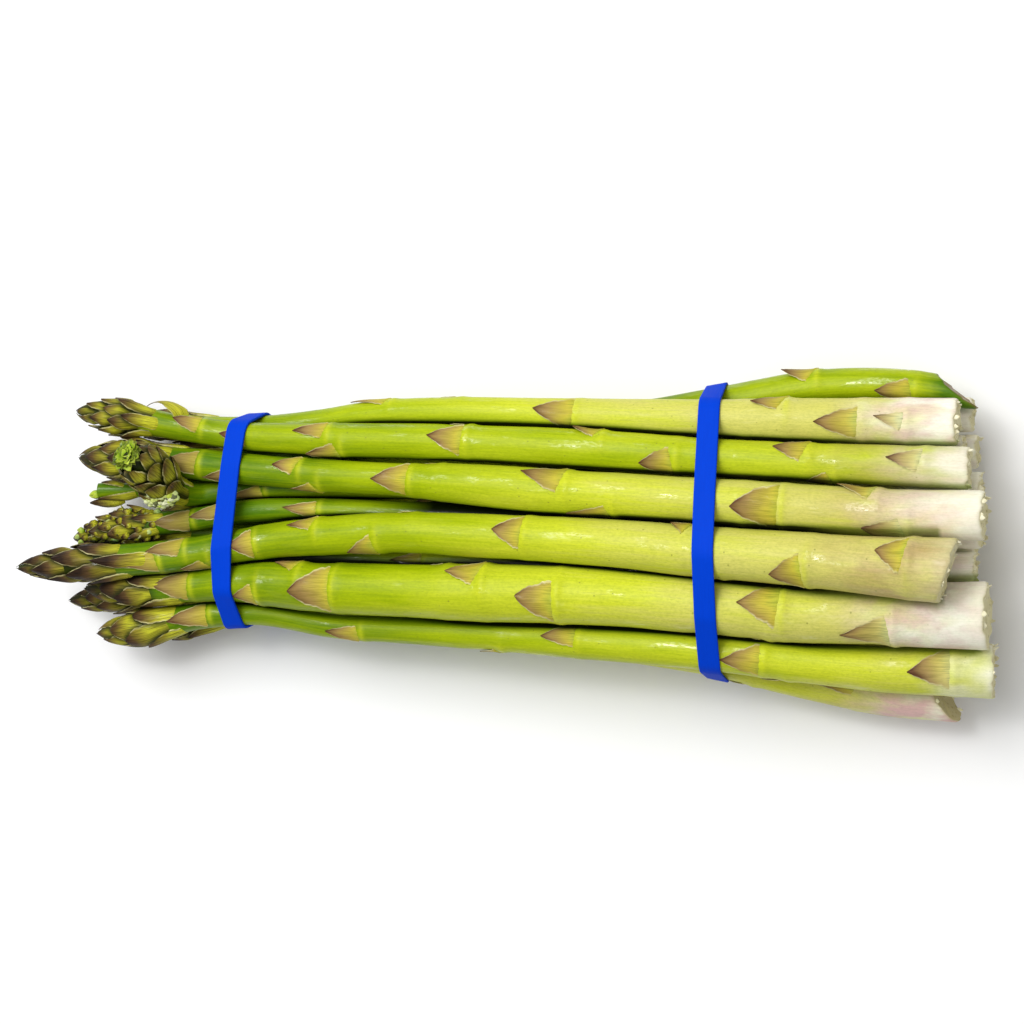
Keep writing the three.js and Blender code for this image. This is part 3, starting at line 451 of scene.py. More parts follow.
@dataclass
class MeshParts:
    """Collects closed grids into one mesh, each with its values for the material."""

    names: tuple[str, ...]  # of the values that every point has
    points: list[Array] = field(default_factory=list)  # in millimetres, in the frame of the routes
    quads: list[Array] = field(default_factory=list)  # four points each
    triangles: list[Array] = field(default_factory=list)  # three points each
    values: dict[str, list[Array]] = field(default_factory=dict)
    skins: list[Array] = field(default_factory=list)  # the points' places on the straightened spear or band
    count: int = 0  # how many points there are so far

    def add_loops(self, points: Array, skin: Array, ring: bool = False, **values: Array | float) -> None:
        """Adds a tube: closed loops of points one after another, closed at each end by a fan to the loop's
        middle, or joined end to start into a ring. Its faces are turned to point outwards.

        Args:
            points: (loops, points round, 3) in millimetres.
            skin: the place of each point on the straightened spear, the same shape.
            ring: whether the last loop joins the first.
            values: a number, or a number for each point, under the material's names for them.
        """
        loops, around = points.shape[:2]
        index = np.arange(loops * around).reshape(loops, around)
        rows = np.arange(loops if ring else loops - 1)
        here, nxt = index[rows], index[(rows + 1) % loops]
        quads = np.stack([here, np.roll(here, -1, 1), np.roll(nxt, -1, 1), nxt], axis=-1).reshape(-1, 4)
        flat = points.reshape(-1, 3)
        flat_skin = skin.reshape(-1, 3)
        triangles = np.zeros((0, 3), int)
        full = {name: np.broadcast_to(values.get(name, 0.0), (loops, around)).ravel()
                for name in self.names}
        if not ring:
            start, end = loops * around, loops * around + 1
            flat = np.concatenate([flat, points[:1].mean(1), points[-1:].mean(1)])
            flat_skin = np.concatenate([flat_skin, skin[:1].mean(1), skin[-1:].mean(1)])
            full = {name: np.concatenate([v, [v[:around].mean()], [v[-around:].mean()]])
                    for name, v in full.items()}
            first, last = index[0], index[-1]
            triangles = np.concatenate([
                np.stack([np.full(around, start), np.roll(first, -1), first], axis=-1),
                np.stack([np.full(around, end), last, np.roll(last, -1)], axis=-1),
            ])
        split = np.concatenate([quads[:, :3], quads[:, [0, 2, 3]], triangles])
        a, b, c = (flat[split[:, k]] - flat.mean(0) for k in range(3))
        if np.einsum("ij,ij->", a, np.cross(b, c)) < 0:
            quads, triangles = quads[:, ::-1], triangles[:, ::-1]
        self.points.append(flat)
        self.skins.append(flat_skin)
        self.quads.append(quads + self.count)
        self.triangles.append(triangles + self.count)
        for name in self.names:
            self.values.setdefault(name, []).append(full[name])
        self.count += len(flat)

    def build(self, name: str, sharp: float) -> bpy.types.Object:
        """Makes the mesh object, in metres and in the part's frame.

        Args:
            name: the object's name.
            sharp: the angle in degrees past which an edge is shown sharp.

        Returns:
            The object, linked to the scene.
        """
        mesh = bpy.data.meshes.new(name)
        places = np.concatenate(self.points) - np.array([*CENTRE, 0.0])
        quads, triangles = np.concatenate(self.quads), np.concatenate(self.triangles)
        sizes = np.concatenate([np.full(len(quads), 4), np.full(len(triangles), 3)])
        mesh.vertices.add(len(places))
        mesh.vertices.foreach_set("co", (places * MM).astype(np.float32).ravel())
        mesh.loops.add(int(sizes.sum()))
        mesh.loops.foreach_set("vertex_index", np.concatenate([quads.ravel(), triangles.ravel()]))
        mesh.polygons.add(len(sizes))
        mesh.polygons.foreach_set("loop_start", np.concatenate([[0], np.cumsum(sizes)[:-1]]))
        mesh.polygons.foreach_set("use_smooth", np.ones(len(sizes), bool))
        for key in self.names:
            attribute = mesh.attributes.new(key, "FLOAT", "POINT")
            attribute.data.foreach_set("value", np.concatenate(self.values[key]).astype(np.float32))
        skin = mesh.attributes.new("skin", "FLOAT_VECTOR", "POINT")
        skin.data.foreach_set("vector", np.concatenate(self.skins).astype(np.float32).ravel())
        mesh.update(calc_edges=True)
        mesh.validate()
        mesh.set_sharp_from_angle(angle=math.radians(sharp))
        made = bpy.data.objects.new(name, mesh)
        bpy.context.scene.collection.objects.link(made)
        return made


# ---- The bands' places ----


@dataclass(frozen=True)
class BandPlan:
    """Where a band crosses the bunch."""

    name: str  # its node
    x: float  # where its middle passes the point (y, z)
    y: float
    z: float
    per_y: float  # how far it leans for each millimetre of y
    per_z: float  # and of z
    width: float = 5.3
    thickness: float = 0.75

    def edge_x(self, edge: Array | float, y: Array, z: Array) -> Array:
        """The x of the line that is edge away from the band's middle, where it passes (y, z)."""
        return self.x + self.per_y * (y - self.y) + self.per_z * (z - self.z) + edge


BAND_PLANS = (
    BandPlan("band_tips", -64.4, 5, 15, 0.07, -0.17),
    BandPlan("band_butts", 56.7, 2, 25, 0.0, 0.075),
)


# ---- A spear's skin ----

# What each point of a spear's mesh tells its finish. By its place along the spear: "tone", from deep green
# to straw, "pale", "blush", "purple", "withered" and "tan". By the part that it belongs to: "blade" on
# bracts and scales, "head", "bud", "cut" on the cut end, "frayed" on its fibres and "node" on the line at
# a node. On a blade: "tip", from its base to its point, and "margin", from its middle to its edges. Painted
# shade: "dark" under the scales that cover it, in the creases of buds, in the head's core and on some of a
# rosette's leaves and buds, and "near" where other spears hem it in.
SKIN_VALUES = ("tone", "pale", "blush", "node", "blade", "head", "cut", "withered", "frayed", "bud", "tip",
               "margin", "purple", "tan", "dark", "near")


class Draw:
    """The part's own seeded random numbers, so that the hidden bracts stand where its solids have them."""

    def __init__(self, seed: int) -> None:
        """Starts the row of numbers at a seed."""
        self.state = seed

    def __call__(self, low: float = 0.0, high: float = 1.0) -> float:
        """The next number, between low and high."""
        self.state = (self.state * 1664525 + 1013904223) % 2**32
        return low + (high - low) * self.state / 2**32


@dataclass(frozen=True)
class Detail:
    """How finely a spear is meshed: its points round the stem, and across and along its blades."""

    around: int
    row_step: float  # millimetres from row to row along it
    node_rows: int
    blade_across: int
    blade_along: int
    scale_across: int
    scale_along: int


SHOWN_DETAIL = Detail(42, 1.15, 7, 15, 17, 13, 20)
INNER_DETAIL = Detail(28, 1.8, 3, 9, 10, 7, 11)


@dataclass(frozen=True)
class Hump:
    """A soft rise near a node, a bell curve along the spear."""

    height: float  # of the rise
    ahead: float  # how far past the node its middle lies, towards the tip
    spread: float  # how wide it is

    def at(self, off: Array) -> Array:
        """The rise at a distance past the node."""
        return self.height * bell(off - self.ahead, self.spread)


@dataclass(frozen=True)
class StemRelief:
    """How a stem departs from its smooth girth."""

    # depth, as a share of the radius, and length of a wave that winds round the stem
    spiral: Pair = (0.010, 9.0)
    ripple: Pair = (0.008, 4.3)  # the same of a wave along it
    oval: float = 0.014  # how far it is from round, as a share of the radius
    phase: float = 1.7  # how far the waves shift from one seed to the next
    cushion: Hump = Hump(0.36, -0.9, 1.3)  # the swelling beneath a bract
    ring: Hump = Hump(0.07, -0.4, 1.8)  # the swelling all round a node
    hollow: Hump = Hump(0.16, 3.2, 2.6)  # the dip past a node, on the bract's side
    facing: float = 70.0  # how far round, in degrees, the cushion and hollow spread
    full_radius: float = 5.0  # the radius at which the swellings have their given height
    fuller: float = 0.15  # how much thicker than its girth the stem is made
    core_inset: float = 1.25  # how deep the head's core lies under the head's outline
    core_share: float = 0.4  # the most of the radius that this inset may take
    core_room: float = 0.3  # the share of the head's length over which the core draws in
    thinnest: float = 0.15  # the least radius of the core


@dataclass(frozen=True)
class Ripening:
    """Where along x a spear's colours change, each from and to."""

    tone: Row = (-98, 98)  # from deep green to straw
    withering: Row = (104, 117)  # where a dried end turns brown-green
    fade: float = 34  # the length over which a spear pales
    blush: Row = (84, 104)  # where the mauve comes in
    blush_end: Row = (112, 124)  # where some of it goes again
    blush_lost: float = 0.6  # how much of it goes
    tan: Row = (70, 112)  # where the tan comes in
    halfway: float = 0.5  # the tone of an even spear, and how far a dried end's tone falls

    def values(self, plan: SpearPlan, x: Array) -> dict[str, Array | float]:
        """The values that follow the place along a spear.

        Args:
            plan: the spear's plan.
            x: the places.

        Returns:
            The values by name.
        """
        blush = plan.blush * smoothstep(*self.blush, x)
        blush = blush * (1 - self.blush_lost * smoothstep(*self.blush_end, x))
        tone = smoothstep(*self.tone, x) * (1 - plan.even) + self.halfway * plan.even - plan.greener
        return {
            "tone": tone - plan.withered * smoothstep(*self.withering, x) * self.halfway,
            "pale": smoothstep(plan.pale_from, plan.pale_from + self.fade, x),
            "blush": blush,
            "purple": plan.purple,
            "withered": plan.withered,
            "tan": plan.tan * smoothstep(*self.tan, x),
        }


@dataclass(eq=False)
class Spear:
    """One spear: its settled centreline, the skin round it and the mesh that its parts are added to."""

    plan: SpearPlan
    seed: int
    stations: Array  # x of the settled stations
    shift: Array  # (y, z) by which the spear was moved at each
    relief: StemRelief = StemRelief()
    ripening: Ripening = Ripening()
    trace_steps: int = 480  # steps in which the centreline is measured
    look_ahead: float = 0.4  # how far to both sides of a place its direction is measured
    # from where to where beside a band's edge the relief comes back
    beside_band: Pair = (0.3, 3.0)
    pattern_radius: float = 5.0  # radius of the straightened spear, on which the finish's patterns lie
    pattern_shift: float = 41.0  # how far the patterns shift from one seed to the next
    # the least shift of a blade's patterns from the stem's, along each axis
    blade_shift: Row = (3.0, 7.0, 0.0)
    sharp: float = 55.0  # the angle in degrees past which an edge is shown sharp

    def __post_init__(self) -> None:
        """Works out the settled centreline and lists every bract."""
        plan = self.plan
        self.detail = INNER_DETAIL if plan.inner else SHOWN_DETAIL
        self.rng = np.random.default_rng(self.seed)
        self.girth = SmoothCurve(*np.array(plan.girth).T)
        x, *sides = np.array(plan.route).T
        self.lines = [(SmoothCurve(x, side), SmoothCurve(self.stations, shift))
                      for side, shift in zip(sides, self.shift.T)]
        self.xs = np.linspace(plan.butt, plan.tip, self.trace_steps + 1)
        steps = np.linalg.norm(np.diff(self.centre(self.xs), axis=0), axis=1)
        self.lengths = np.concatenate([[0], np.cumsum(steps)])
        self.length = float(self.lengths[-1])
        self.head_start = float(self.length_at(plan.head_base))
        draw = Draw(self.seed)
        self.bracts = [Bract(*row) for row in plan.bracts] + BractSpiral().bracts(plan, draw)
        self.first_angle = 360 * draw()
        self.parts = MeshParts(SKIN_VALUES)

    def centre(self, x: Array) -> Array:
        """The centreline's points at x."""
        x = np.asarray(x, float)
        return np.stack([x, *(route(x) + shift(x) for route, shift in self.lines)], axis=-1)

    def x_at(self, length: Array) -> Array:
        """The x at a length along the centreline, straight on past both ends.

        Args:
            length: from the butt.

        Returns:
            The x there.
        """
        length = np.asarray(length, float)
        start = (self.xs[1] - self.xs[0]) / (self.lengths[1] - self.lengths[0])
        end = (self.xs[-1] - self.xs[-2]) / (self.lengths[-1] - self.lengths[-2])
        before = np.minimum(length, 0) * start
        after = np.maximum(length - self.length, 0) * end
        return np.interp(length, self.lengths, self.xs) + before + after

    def length_at(self, x: Array | float) -> Array:
        """The length along the centreline from the butt to x."""
        return np.interp(-np.asarray(x, float), -self.xs, self.lengths)

    def head_share(self, lengths: Array) -> Array:
        """The place along the head, 0 at its base and 1 at its tip."""
        return (lengths - self.head_start) / (self.length - self.head_start)

    def pattern(self, places: Array) -> Array:
        """Places on the straightened spear, moved to this spear's own stretch of the patterns."""
        return places + self.pattern_shift * self.seed

    def skin(self, lengths: Array, degrees: Array, radius: Array) -> tuple[Array, Array]:
        """Points round the centreline: out from it by the radius, turned from straight up towards +Y.

        Args:
            lengths: how far along from the butt.
            degrees: how far round.
            radius: how far out.

        Returns:
            The points, and their places on the straightened spear, each with a last axis of 3.
        """
        lengths, degrees, radius = np.broadcast_arrays(lengths, degrees, radius)
        x = self.x_at(lengths)
        centre = self.centre(x)
        ahead = self.centre(x - self.look_ahead) - self.centre(x + self.look_ahead)
        ahead /= np.linalg.norm(ahead, axis=-1, keepdims=True)
        side = np.array([0.0, 1.0, 0.0]) - ahead * ahead[..., 1:2]
        side /= np.linalg.norm(side, axis=-1, keepdims=True)
        up = np.cross(side, ahead)
        angle = np.radians(degrees)
        out = up * np.cos(angle)[..., None] + side * np.sin(angle)[..., None]
        across = (self.pattern_radius * np.cos(angle), self.pattern_radius * np.sin(angle))
        return centre + out * radius[..., None], self.pattern(np.stack([*across, lengths], axis=-1))

    def outline(self, lengths: Array) -> Array:
        """The radius of the stem, then of the head's outline.

        Args:
            lengths: how far along from the butt.

        Returns:
            The radius at each place.
        """
        stem = self.girth(self.x_at(lengths)) / 2
        if self.plan.snapped:
            return stem
        t = self.head_share(lengths)
        neck = float(self.girth(self.plan.head_base)) / 2
        head = head_radius(t, neck, self.plan.head_width / 2, self.plan.head.value.closing)
        return np.where(t <= 0, stem, head)

    def clear_of_bands(self, lengths: Array) -> Array:
        """How freely relief may stand out of the skin.

        Args:
            lengths: how far along from the butt.

        Returns:
            1 where nothing lies over the skin, falling to 0 under the bands.
        """
        x, y, z = np.moveaxis(self.centre(self.x_at(lengths)), -1, 0)
        free = np.ones_like(x)
        for band in BAND_PLANS:
            low, high = (band.width / 2 + beside for beside in self.beside_band)
            free = free * smoothstep(low, high, np.abs(x - band.edge_x(0, y, z)))
        return free

    def stem_radius(self, lengths: Array, degrees: Array) -> Array:
        """The stem's radius: its girth, a slow unevenness, a swelling at each node that is largest under
        the bract, and the core of the head.

        Args:
            lengths: how far along from the butt.
            degrees: how far round.

        Returns:
            The radius at each place.
        """
        relief = self.relief
        lengths, degrees = np.broadcast_arrays(lengths, degrees)
        radius = self.outline(lengths)
        free = self.clear_of_bands(lengths)
        phase = self.seed * relief.phase
        uneven = (relief.spiral[0] * np.sin(lengths / relief.spiral[1] + phase + np.radians(degrees))
                  + relief.ripple[0] * np.sin(lengths / relief.ripple[1] - phase)
                  + relief.oval * np.cos(np.radians(2 * degrees) + phase))
        swell = np.zeros_like(radius)
        for bract in self.bracts:
            off = lengths - self.length_at(bract.x)
            facing = bell(wrapped(degrees - bract.degrees), relief.facing)
            swell += relief.cushion.at(off) * facing + relief.ring.at(off) - relief.hollow.at(off) * facing
        radius = radius * (1 + uneven * free) + swell * free * radius / relief.full_radius + relief.fuller
        if self.plan.snapped:
            return radius
        inside = smoothstep(0, relief.core_room, self.head_share(lengths))
        inset = np.minimum(relief.core_inset, relief.core_share * radius) * inside
        return np.maximum(radius - inset, relief.thinnest)

    def dress(self, lengths: Array, shape: tuple[int, ...]) -> dict[str, Array]:
        """The values that follow the place along the spear, by name, for points of this shape."""
        values = self.ripening.values(self.plan, self.x_at(lengths))
        return {name: np.broadcast_to(value, shape) for name, value in values.items()}

    def axes(self, length: float, degrees: float, radius: float) -> Axes:
        """A place this far along, round and out: its point, and the directions outwards and ahead."""
        here, out, ahead = self.skin(np.array([length, length, length + 1]), degrees,
                                     np.array([radius, radius + 1, radius]))[0]
        return here, out - here, (ahead - here) / np.linalg.norm(ahead - here)

    def add_blade(self, lengths: Array, degrees: Array, radius: Array, thickness: Array,
                  along: Array, across: Array, **values: Array | float) -> None:
        """A thin closed shell: its outer face over (along, across), its inner face one thickness below.

        Args:
            lengths: how far along the spear, at each point of the outer face.
            degrees: how far round it.
            radius: how far out.
            thickness: of the shell.
            along: 0 at the blade's base to 1 at its point.
            across: -1 to 1 from edge to edge.
            values: more values for the material.
        """
        shape = lengths.shape
        outer, skin = self.skin(lengths, degrees, radius)
        inner, _ = self.skin(lengths, degrees, radius - thickness)
        both = {"tip": np.broadcast_to(along, shape), "margin": np.broadcast_to(np.abs(across), shape)}
        both |= self.dress(lengths, shape) | {k: np.broadcast_to(v, shape) for k, v in values.items()}
        doubled = {k: np.concatenate([v, v[:, ::-1]], axis=1) for k, v in both.items()}
        skin = skin + np.array(self.blade_shift) * self.rng.uniform(1, 9)
        self.parts.add_loops(np.concatenate([outer, inner[:, ::-1]], axis=1),
                             np.concatenate([skin, skin[:, ::-1]], axis=1), **doubled)

    def build(self, finish: bpy.types.Material, crowd: Crowd) -> bpy.types.Object:
        """Makes the spear's mesh, gives it its finish and lets it stand for its node.

        Args:
            finish: the material.
            crowd: all the spears, to tell where this one is hemmed in, for the painted shade there.

        Returns:
            The object.
        """
        stem = Stem(self)
        stem.add_tube()
        for bract in self.bracts:
            bract.add_to(self)
        Head(self).add()
        stem.add_fibres()
        # painted shade in the gaps between spears, by how closely the others hem each place in
        self.parts.values["near"] = [crowd.closeness(points, self) for points in self.parts.points]
        made = self.parts.build(f"{self.plan.name}_skin", self.sharp)
        made.data.materials.append(finish)
        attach(made, "root")
        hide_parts(self.plan.name)
        return made


# ---- Bracts and scales ----


@dataclass(frozen=True)
class RaggedEdge:
    """The uneven edge of a blade: two waves along it."""

    slow: Pair  # depth of the first, and the radians that it runs over the blade's length
    fast: Pair  # the same of the second
    slanted: float  # the radians by which the first shifts from the blade's middle to its edge

    def at(self, v: Array, u: Array, start: float) -> Array:
        """What the width is multiplied by at v along it and u across, with the waves started at start."""
        return (1 + self.slow[0] * np.sin(self.slow[1] * v + start + self.slanted * u)
                + self.fast[0] * np.sin(self.fast[1] * v - start))


@dataclass(frozen=True)
class Bract:
    """A papery triangle that hugs the stem from a straight base to a drawn-out point."""

    x: float  # of its base
    degrees: float  # how far round its middle is
    length: float  # from base to point
    half: float  # half its width at the base, in degrees
    flare: float = 0.0  # how far its point stands off the stem
    extra_flare: float = 0.45  # the most that chance adds to this
    arched_from: float = 2.0  # the flare from which it arches off the stem and comes back to it
    power: Pair = (0.78, 1.06)  # least and most power by which it narrows
    fullness: float = 0.3  # how much fuller than a plain triangle it is
    edge: RaggedEdge = RaggedEdge((0.05, 14.0), (0.035, 37.0), 2.0)
    narrowest: float = 0.9  # the least half width, in degrees
    lean: float = 13.0  # the most degrees by which its point leans to a side
    slant: float = 0.5  # the most by which chance slants its base
    side_slant: float = 1.5  # how far a bract's base slants at the side of the spear
    sunk: float = 0.3  # how deep its base starts under the skin
    rise: float = 0.52  # how far it rises at its base
    snug: float = 0.1  # the lift above which a band presses it down
    pressed: float = 0.15  # the share of this lift that is left under the band
    thickness: Pair = (0.07, 0.17)  # at its point, and how much more at its base

    def lift(self, v: Array, u: Array, wave: float) -> Array:
        """How far it stands off before it flares: raised along a keel and both edges, and rippled."""
        swell = np.sin(np.pi * v)
        return (-self.sunk + self.rise * smoothstep(0, 0.05, v) + 0.12 * v + 0.16 * (1 - np.abs(u)) * swell
                + 0.16 * u**4 * swell + 0.08 * np.sin(6 * u + wave) * v)

    def flared(self, v: Array, flare: float) -> Array:
        """The share of the flare at v: late and steep, or an arch that comes back to the stem."""
        return v**2.4 if flare < self.arched_from else np.sin(np.pi * v**0.85) ** 0.8 + 0.1 * v

    def add_to(self, spear: Spear) -> None:
        """Adds its shell to a spear's mesh. At the share v of its length its half width falls off as about
        (1 - v)^0.9 (1 + 0.3 v). Its base slants, bows and waves, and its point leans and flares.

        Args:
            spear: the spear that it grows on.
        """
        rng = spear.rng
        v = np.linspace(0, 1, spear.detail.blade_along)[:, None] ** 0.9
        u = np.linspace(-1, 1, spear.detail.blade_across)[None]
        flare = self.flare + rng.uniform(0.0, self.extra_flare)
        lean = rng.uniform(-self.lean, self.lean)
        wave = rng.uniform(0, LATEST_PHASE)
        slant = rng.uniform(-self.slant, self.slant) - self.side_slant * math.sin(math.radians(self.degrees))
        width = self.half * (1 - v) ** rng.uniform(*self.power) * (1 + self.fullness * v)
        width = np.maximum(width * self.edge.at(v, u, wave), self.narrowest)
        base = (slant * u - 0.3 * (1 - u**2) + 0.12 * np.sin(13 * u + wave)) * (1 - v) ** 2
        fold = 0.15 * np.sin(9 * u + wave) * v * (1 - v)
        lengths = spear.length_at(self.x) + self.length * v + base + fold
        turned = self.degrees + width * u + lean * v**1.5
        free = spear.clear_of_bands(lengths)
        lift = self.lift(v, u, wave)
        held = self.snug + (lift - self.snug) * (self.pressed + (1 - self.pressed) * free)
        lift = np.where(lift > self.snug, held, lift) + flare * self.flared(v, flare) * free
        radius = spear.stem_radius(lengths, turned) + lift
        thickness = self.thickness[0] + self.thickness[1] * (1 - v) * (1 - 0.6 * np.abs(u) ** 3)
        scale_like = 0.75 * float(flare > self.arched_from)
        spear.add_blade(lengths, turned, radius, thickness, v, u, blade=1.0, head=scale_like)


@dataclass(frozen=True)
class BractSpiral:
    """The bracts that a spear's plan doesn't list, by the same rule and draws as on the part's solids."""

    sector: float = 95.0  # how far round from straight up, in degrees, the rows cover a shown spear
    shown_spacing: float = 40.0  # from bract to bract on a shown spear
    inner_spacing: float = 62.0  # from bract to bract on an inner one
    spread: Pair = (0.8, 1.1)  # least and most share of the spacing
    from_butt: Pair = (10, 20)  # least and most distance of the first from the butt
    from_head: float = 6.0  # how far the last stays from the head
    length: Pair = (7.5, 10.5)  # least and most
    half: Pair = (42, 58)  # least and most half width, in degrees

    def bracts(self, plan: SpearPlan, draw: Draw) -> list[Bract]:
        """Places them in a spiral by the golden angle, from the butt to the head.

        Args:
            plan: the spear's plan.
            draw: its random numbers.

        Returns:
            The bracts.
        """
        found: list[Bract] = []
        degrees = 360 * draw()
        spacing = self.inner_spacing if plan.inner else self.shown_spacing
        x = plan.butt - draw(*self.from_butt)
        while x > plan.head_base + self.from_head:
            degrees += GOLDEN_ANGLE
            turned = float(wrapped(degrees))
            if plan.inner or abs(turned) > self.sector:
                found.append(Bract(x, turned, draw(*self.length), draw(*self.half)))
            x -= spacing * draw(*self.spread)
        return found


@dataclass(frozen=True)
class Scale:
    """One scale of a head: a keeled triangle from beneath the head's outline to a point off it."""

    start: float  # where along the spear it begins
    length: float  # from base to point
    degrees: float  # how far round its middle is at its base
    lean: float  # how many degrees its point leans to a side
    half: float  # half its greatest width, in degrees
    spread: float  # how far its point stands off
    bulge: float  # how far its middle bulges
    point: float  # the power by which it narrows
    edge: RaggedEdge = RaggedEdge((0.045, 13.0), (0.03, 31.0), 3.0)
    narrowest: float = 1.5  # the least half width, in degrees
    step: Pair = (0.35, 0.07)  # how far the first scales' bases stand up, on the stem
    sunk: float = 0.1  # how deep the other bases lie, besides the inset of the core
    full_radius: float = 2.2  # the head's radius at which the lifts have their full height
    thickness: Pair = (0.12, 0.3)  # at its point, and how much more at its base
    shade_reach: float = 1.1  # how far a scale's painted shade reaches over those beneath it

    def half_at(self, v: Array) -> Array:
        """Half its width in degrees at the share v of its length."""
        return self.half * (1 - v) ** self.point * (0.86 + 0.75 * v)

    def middle_at(self, v: Array) -> Array:
        """How far round its middle is at the share v of its length."""
        return self.degrees + self.lean * v**2

    def distance(self, lengths: Array, degrees: Array, radius: Array) -> Array:
        """How far in millimetres a place lies outside this scale, 0 beneath it.

        Args:
            lengths: how far along the spear.
            degrees: how far round.
            radius: how far out.

        Returns:
            The distance at each place.
        """
        v = np.clip((lengths - self.start) / self.length, 0, 1)
        aside = np.radians(np.abs(wrapped(degrees - self.middle_at(v))) - self.half_at(v)) * radius
        beyond = np.maximum(lengths - self.start - self.length, self.start - lengths)
        return np.hypot(np.maximum(aside, 0), np.maximum(beyond, 0))

    def add_to(self, spear: Spear, over: list[Scale]) -> None:
        """Adds its shell to a spear's mesh: it rises out of the core, bulges, draws its keel up towards its
        point and stands off there. It is painted dark where the scales over it shade it.

        Args:
            spear: the spear whose head it belongs to.
            over: the scales that lie over it.
        """
        v = np.linspace(0, 1, spear.detail.scale_along)[:, None] ** 0.92
        u = np.linspace(-1, 1, spear.detail.scale_across)[None]
        wave = spear.rng.uniform(0, LATEST_PHASE)
        width = np.maximum(self.half_at(v) * self.edge.at(v, u, wave), self.narrowest)
        lengths = self.start + self.length * v - 0.5 * (1 - u**2) * (1 - v) ** 2
        turned = self.middle_at(v) + width * u
        relief = spear.relief
        inside = smoothstep(0, relief.core_room, spear.head_share(lengths))
        outline = np.maximum(spear.outline(lengths), 0.05)
        step = self.step[0] * smoothstep(0, self.step[1], v) * (1 - inside)
        sunk = (self.sunk + relief.core_inset * inside) * (1 - smoothstep(-0.05, 0.5, v))
        raised = (self.bulge * (1 - u**2) * np.sin(np.pi * v**0.8) + 0.22 * (1 - np.abs(u)) ** 2 * v
                  + (0.25 + self.spread) * v**2.2)
        lift = step - sunk + raised * np.minimum(outline / self.full_radius, 1)
        radius = np.maximum(outline + lift, 0.14 + 0.1 * (1 - np.abs(u)))
        thickness = np.minimum(self.thickness[0] + self.thickness[1] * (1 - v), radius * 0.6)
        shade = np.zeros(lengths.shape)
        for other in over:
            shade = np.maximum(shade, bell(other.distance(lengths, turned, outline), self.shade_reach))
        spear.add_blade(lengths, turned, radius, thickness, v, u, head=1.0, blade=1.0, dark=shade)


# ---- Small leaves and buds ----


@dataclass(frozen=True)
class Petal:
    """A small leaf."""

    place: Axes
    size: float
    width: float
    lean: float  # 0 to lie along the spear, 1 to stand straight out of it
    curl: float  # how far its point bends outwards, as a share of its length
    rows: tuple[int, int] = (9, 7)  # points along it and across it
    thickness: float = 0.16  # of its shell

    def add_to(self, spear: Spear, **values: float) -> None:
        """Adds its shell to a spear's mesh. Its half width swells by a sine of the share v of its length and
        closes at its point, its edges wave and bend in, and its point curls and ripples.

        Args:
            spear: the spear that it grows on.
            values: more values for the material.
        """
        here, out, ahead = self.place
        axis = (1 - abs(self.lean)) * ahead + self.lean * out
        axis /= np.linalg.norm(axis)
        side = np.cross(ahead, out)
        face = np.cross(axis, side)
        face *= np.sign(face @ out) or 1.0
        v = np.linspace(0, 1, self.rows[0])[:, None]
        u = np.linspace(-1, 1, self.rows[1])[None]
        wave = spear.rng.uniform(0, LATEST_PHASE)
        full = self.width / 2 * (0.5 + 0.5 * np.sin(np.pi * v**0.8)) * (1 - v**5)
        half = full * (1 + 0.12 * np.sin(9 * v + wave)) + 0.05
        rise = self.size * self.curl * v**2 - 0.35 * half * u**2 + 0.12 * np.sin(7 * u + 5 * v + wave) * v
        outer = (here + axis * (self.size * v * np.ones_like(u))[..., None] + side * (u * half)[..., None]
                 + face * rise[..., None])
        points = np.concatenate([outer, (outer - self.thickness * face)[:, ::-1]], axis=1)
        shape = points.shape[:2]
        given = spear.dress(spear.length_at(here[0]), shape)
        given |= {name: np.broadcast_to(value, shape) for name, value in values.items()}
        given["margin"] = np.broadcast_to(np.concatenate([np.abs(u), np.abs(u)], axis=1), shape)
        spear.parts.add_loops(points, spear.pattern(points), tip=np.broadcast_to(v, shape), **given)


@dataclass(frozen=True)
class Bud:
    """A small ruffled bud: an egg whose sides are folded in by a wave of five round it."""

    place: Axes
    size: float
    lean: float  # 0 to lie along the spear, 1 to stand straight out of it
    stout: float = 0.34  # its half width as a share of its length
    leaf: bool = False  # whether it is coloured as a scale
    rows: tuple[int, int] = (9, 15)  # rings along it, and points round each

    def add_to(self, spear: Spear, **given: float) -> None:
        """Adds it to a spear's mesh, with painted shade in its creases.

        Args:
            spear: the spear that it grows on.
            given: more values for the material.
        """
        here, out, ahead = self.place
        axis = (1 - abs(self.lean)) * ahead + self.lean * out
        axis /= np.linalg.norm(axis)
        first = np.cross(axis, [0.3, 0.5, 0.8])
        first /= np.linalg.norm(first)
        second = np.cross(axis, first)
        v = np.linspace(0.03, 0.97, self.rows[0])[:, None]
        phi = np.linspace(0, 2 * np.pi, self.rows[1], endpoint=False)[None]
        phi = phi + spear.rng.uniform(0, LATEST_PHASE)
        fold = np.cos(5 * phi + 3 * v)
        girth = self.size * self.stout * np.sin(np.pi * v**0.8) ** 0.8 * (1 + 0.24 * fold * v)
        points = (here + axis * ((v - 0.35) * self.size)[..., None]
                  + first * (girth * np.cos(phi))[..., None] + second * (girth * np.sin(phi))[..., None])
        shape = points.shape[:2]
        values = spear.dress(spear.length_at(here[0]), shape)
        values |= {"bud": float(not self.leaf), "blade": float(self.leaf), "head": 1.0}
        # painted shade in the creases between its folds
        values |= {"dark": 0.75 * smoothstep(0.2, 1, -fold) * v} | given
        spear.parts.add_loops(points, spear.pattern(points), tip=np.broadcast_to(v, shape), **values)


# ---- Stems and heads ----

CORE_END = 0.97  # the share of the head's length that its core fills


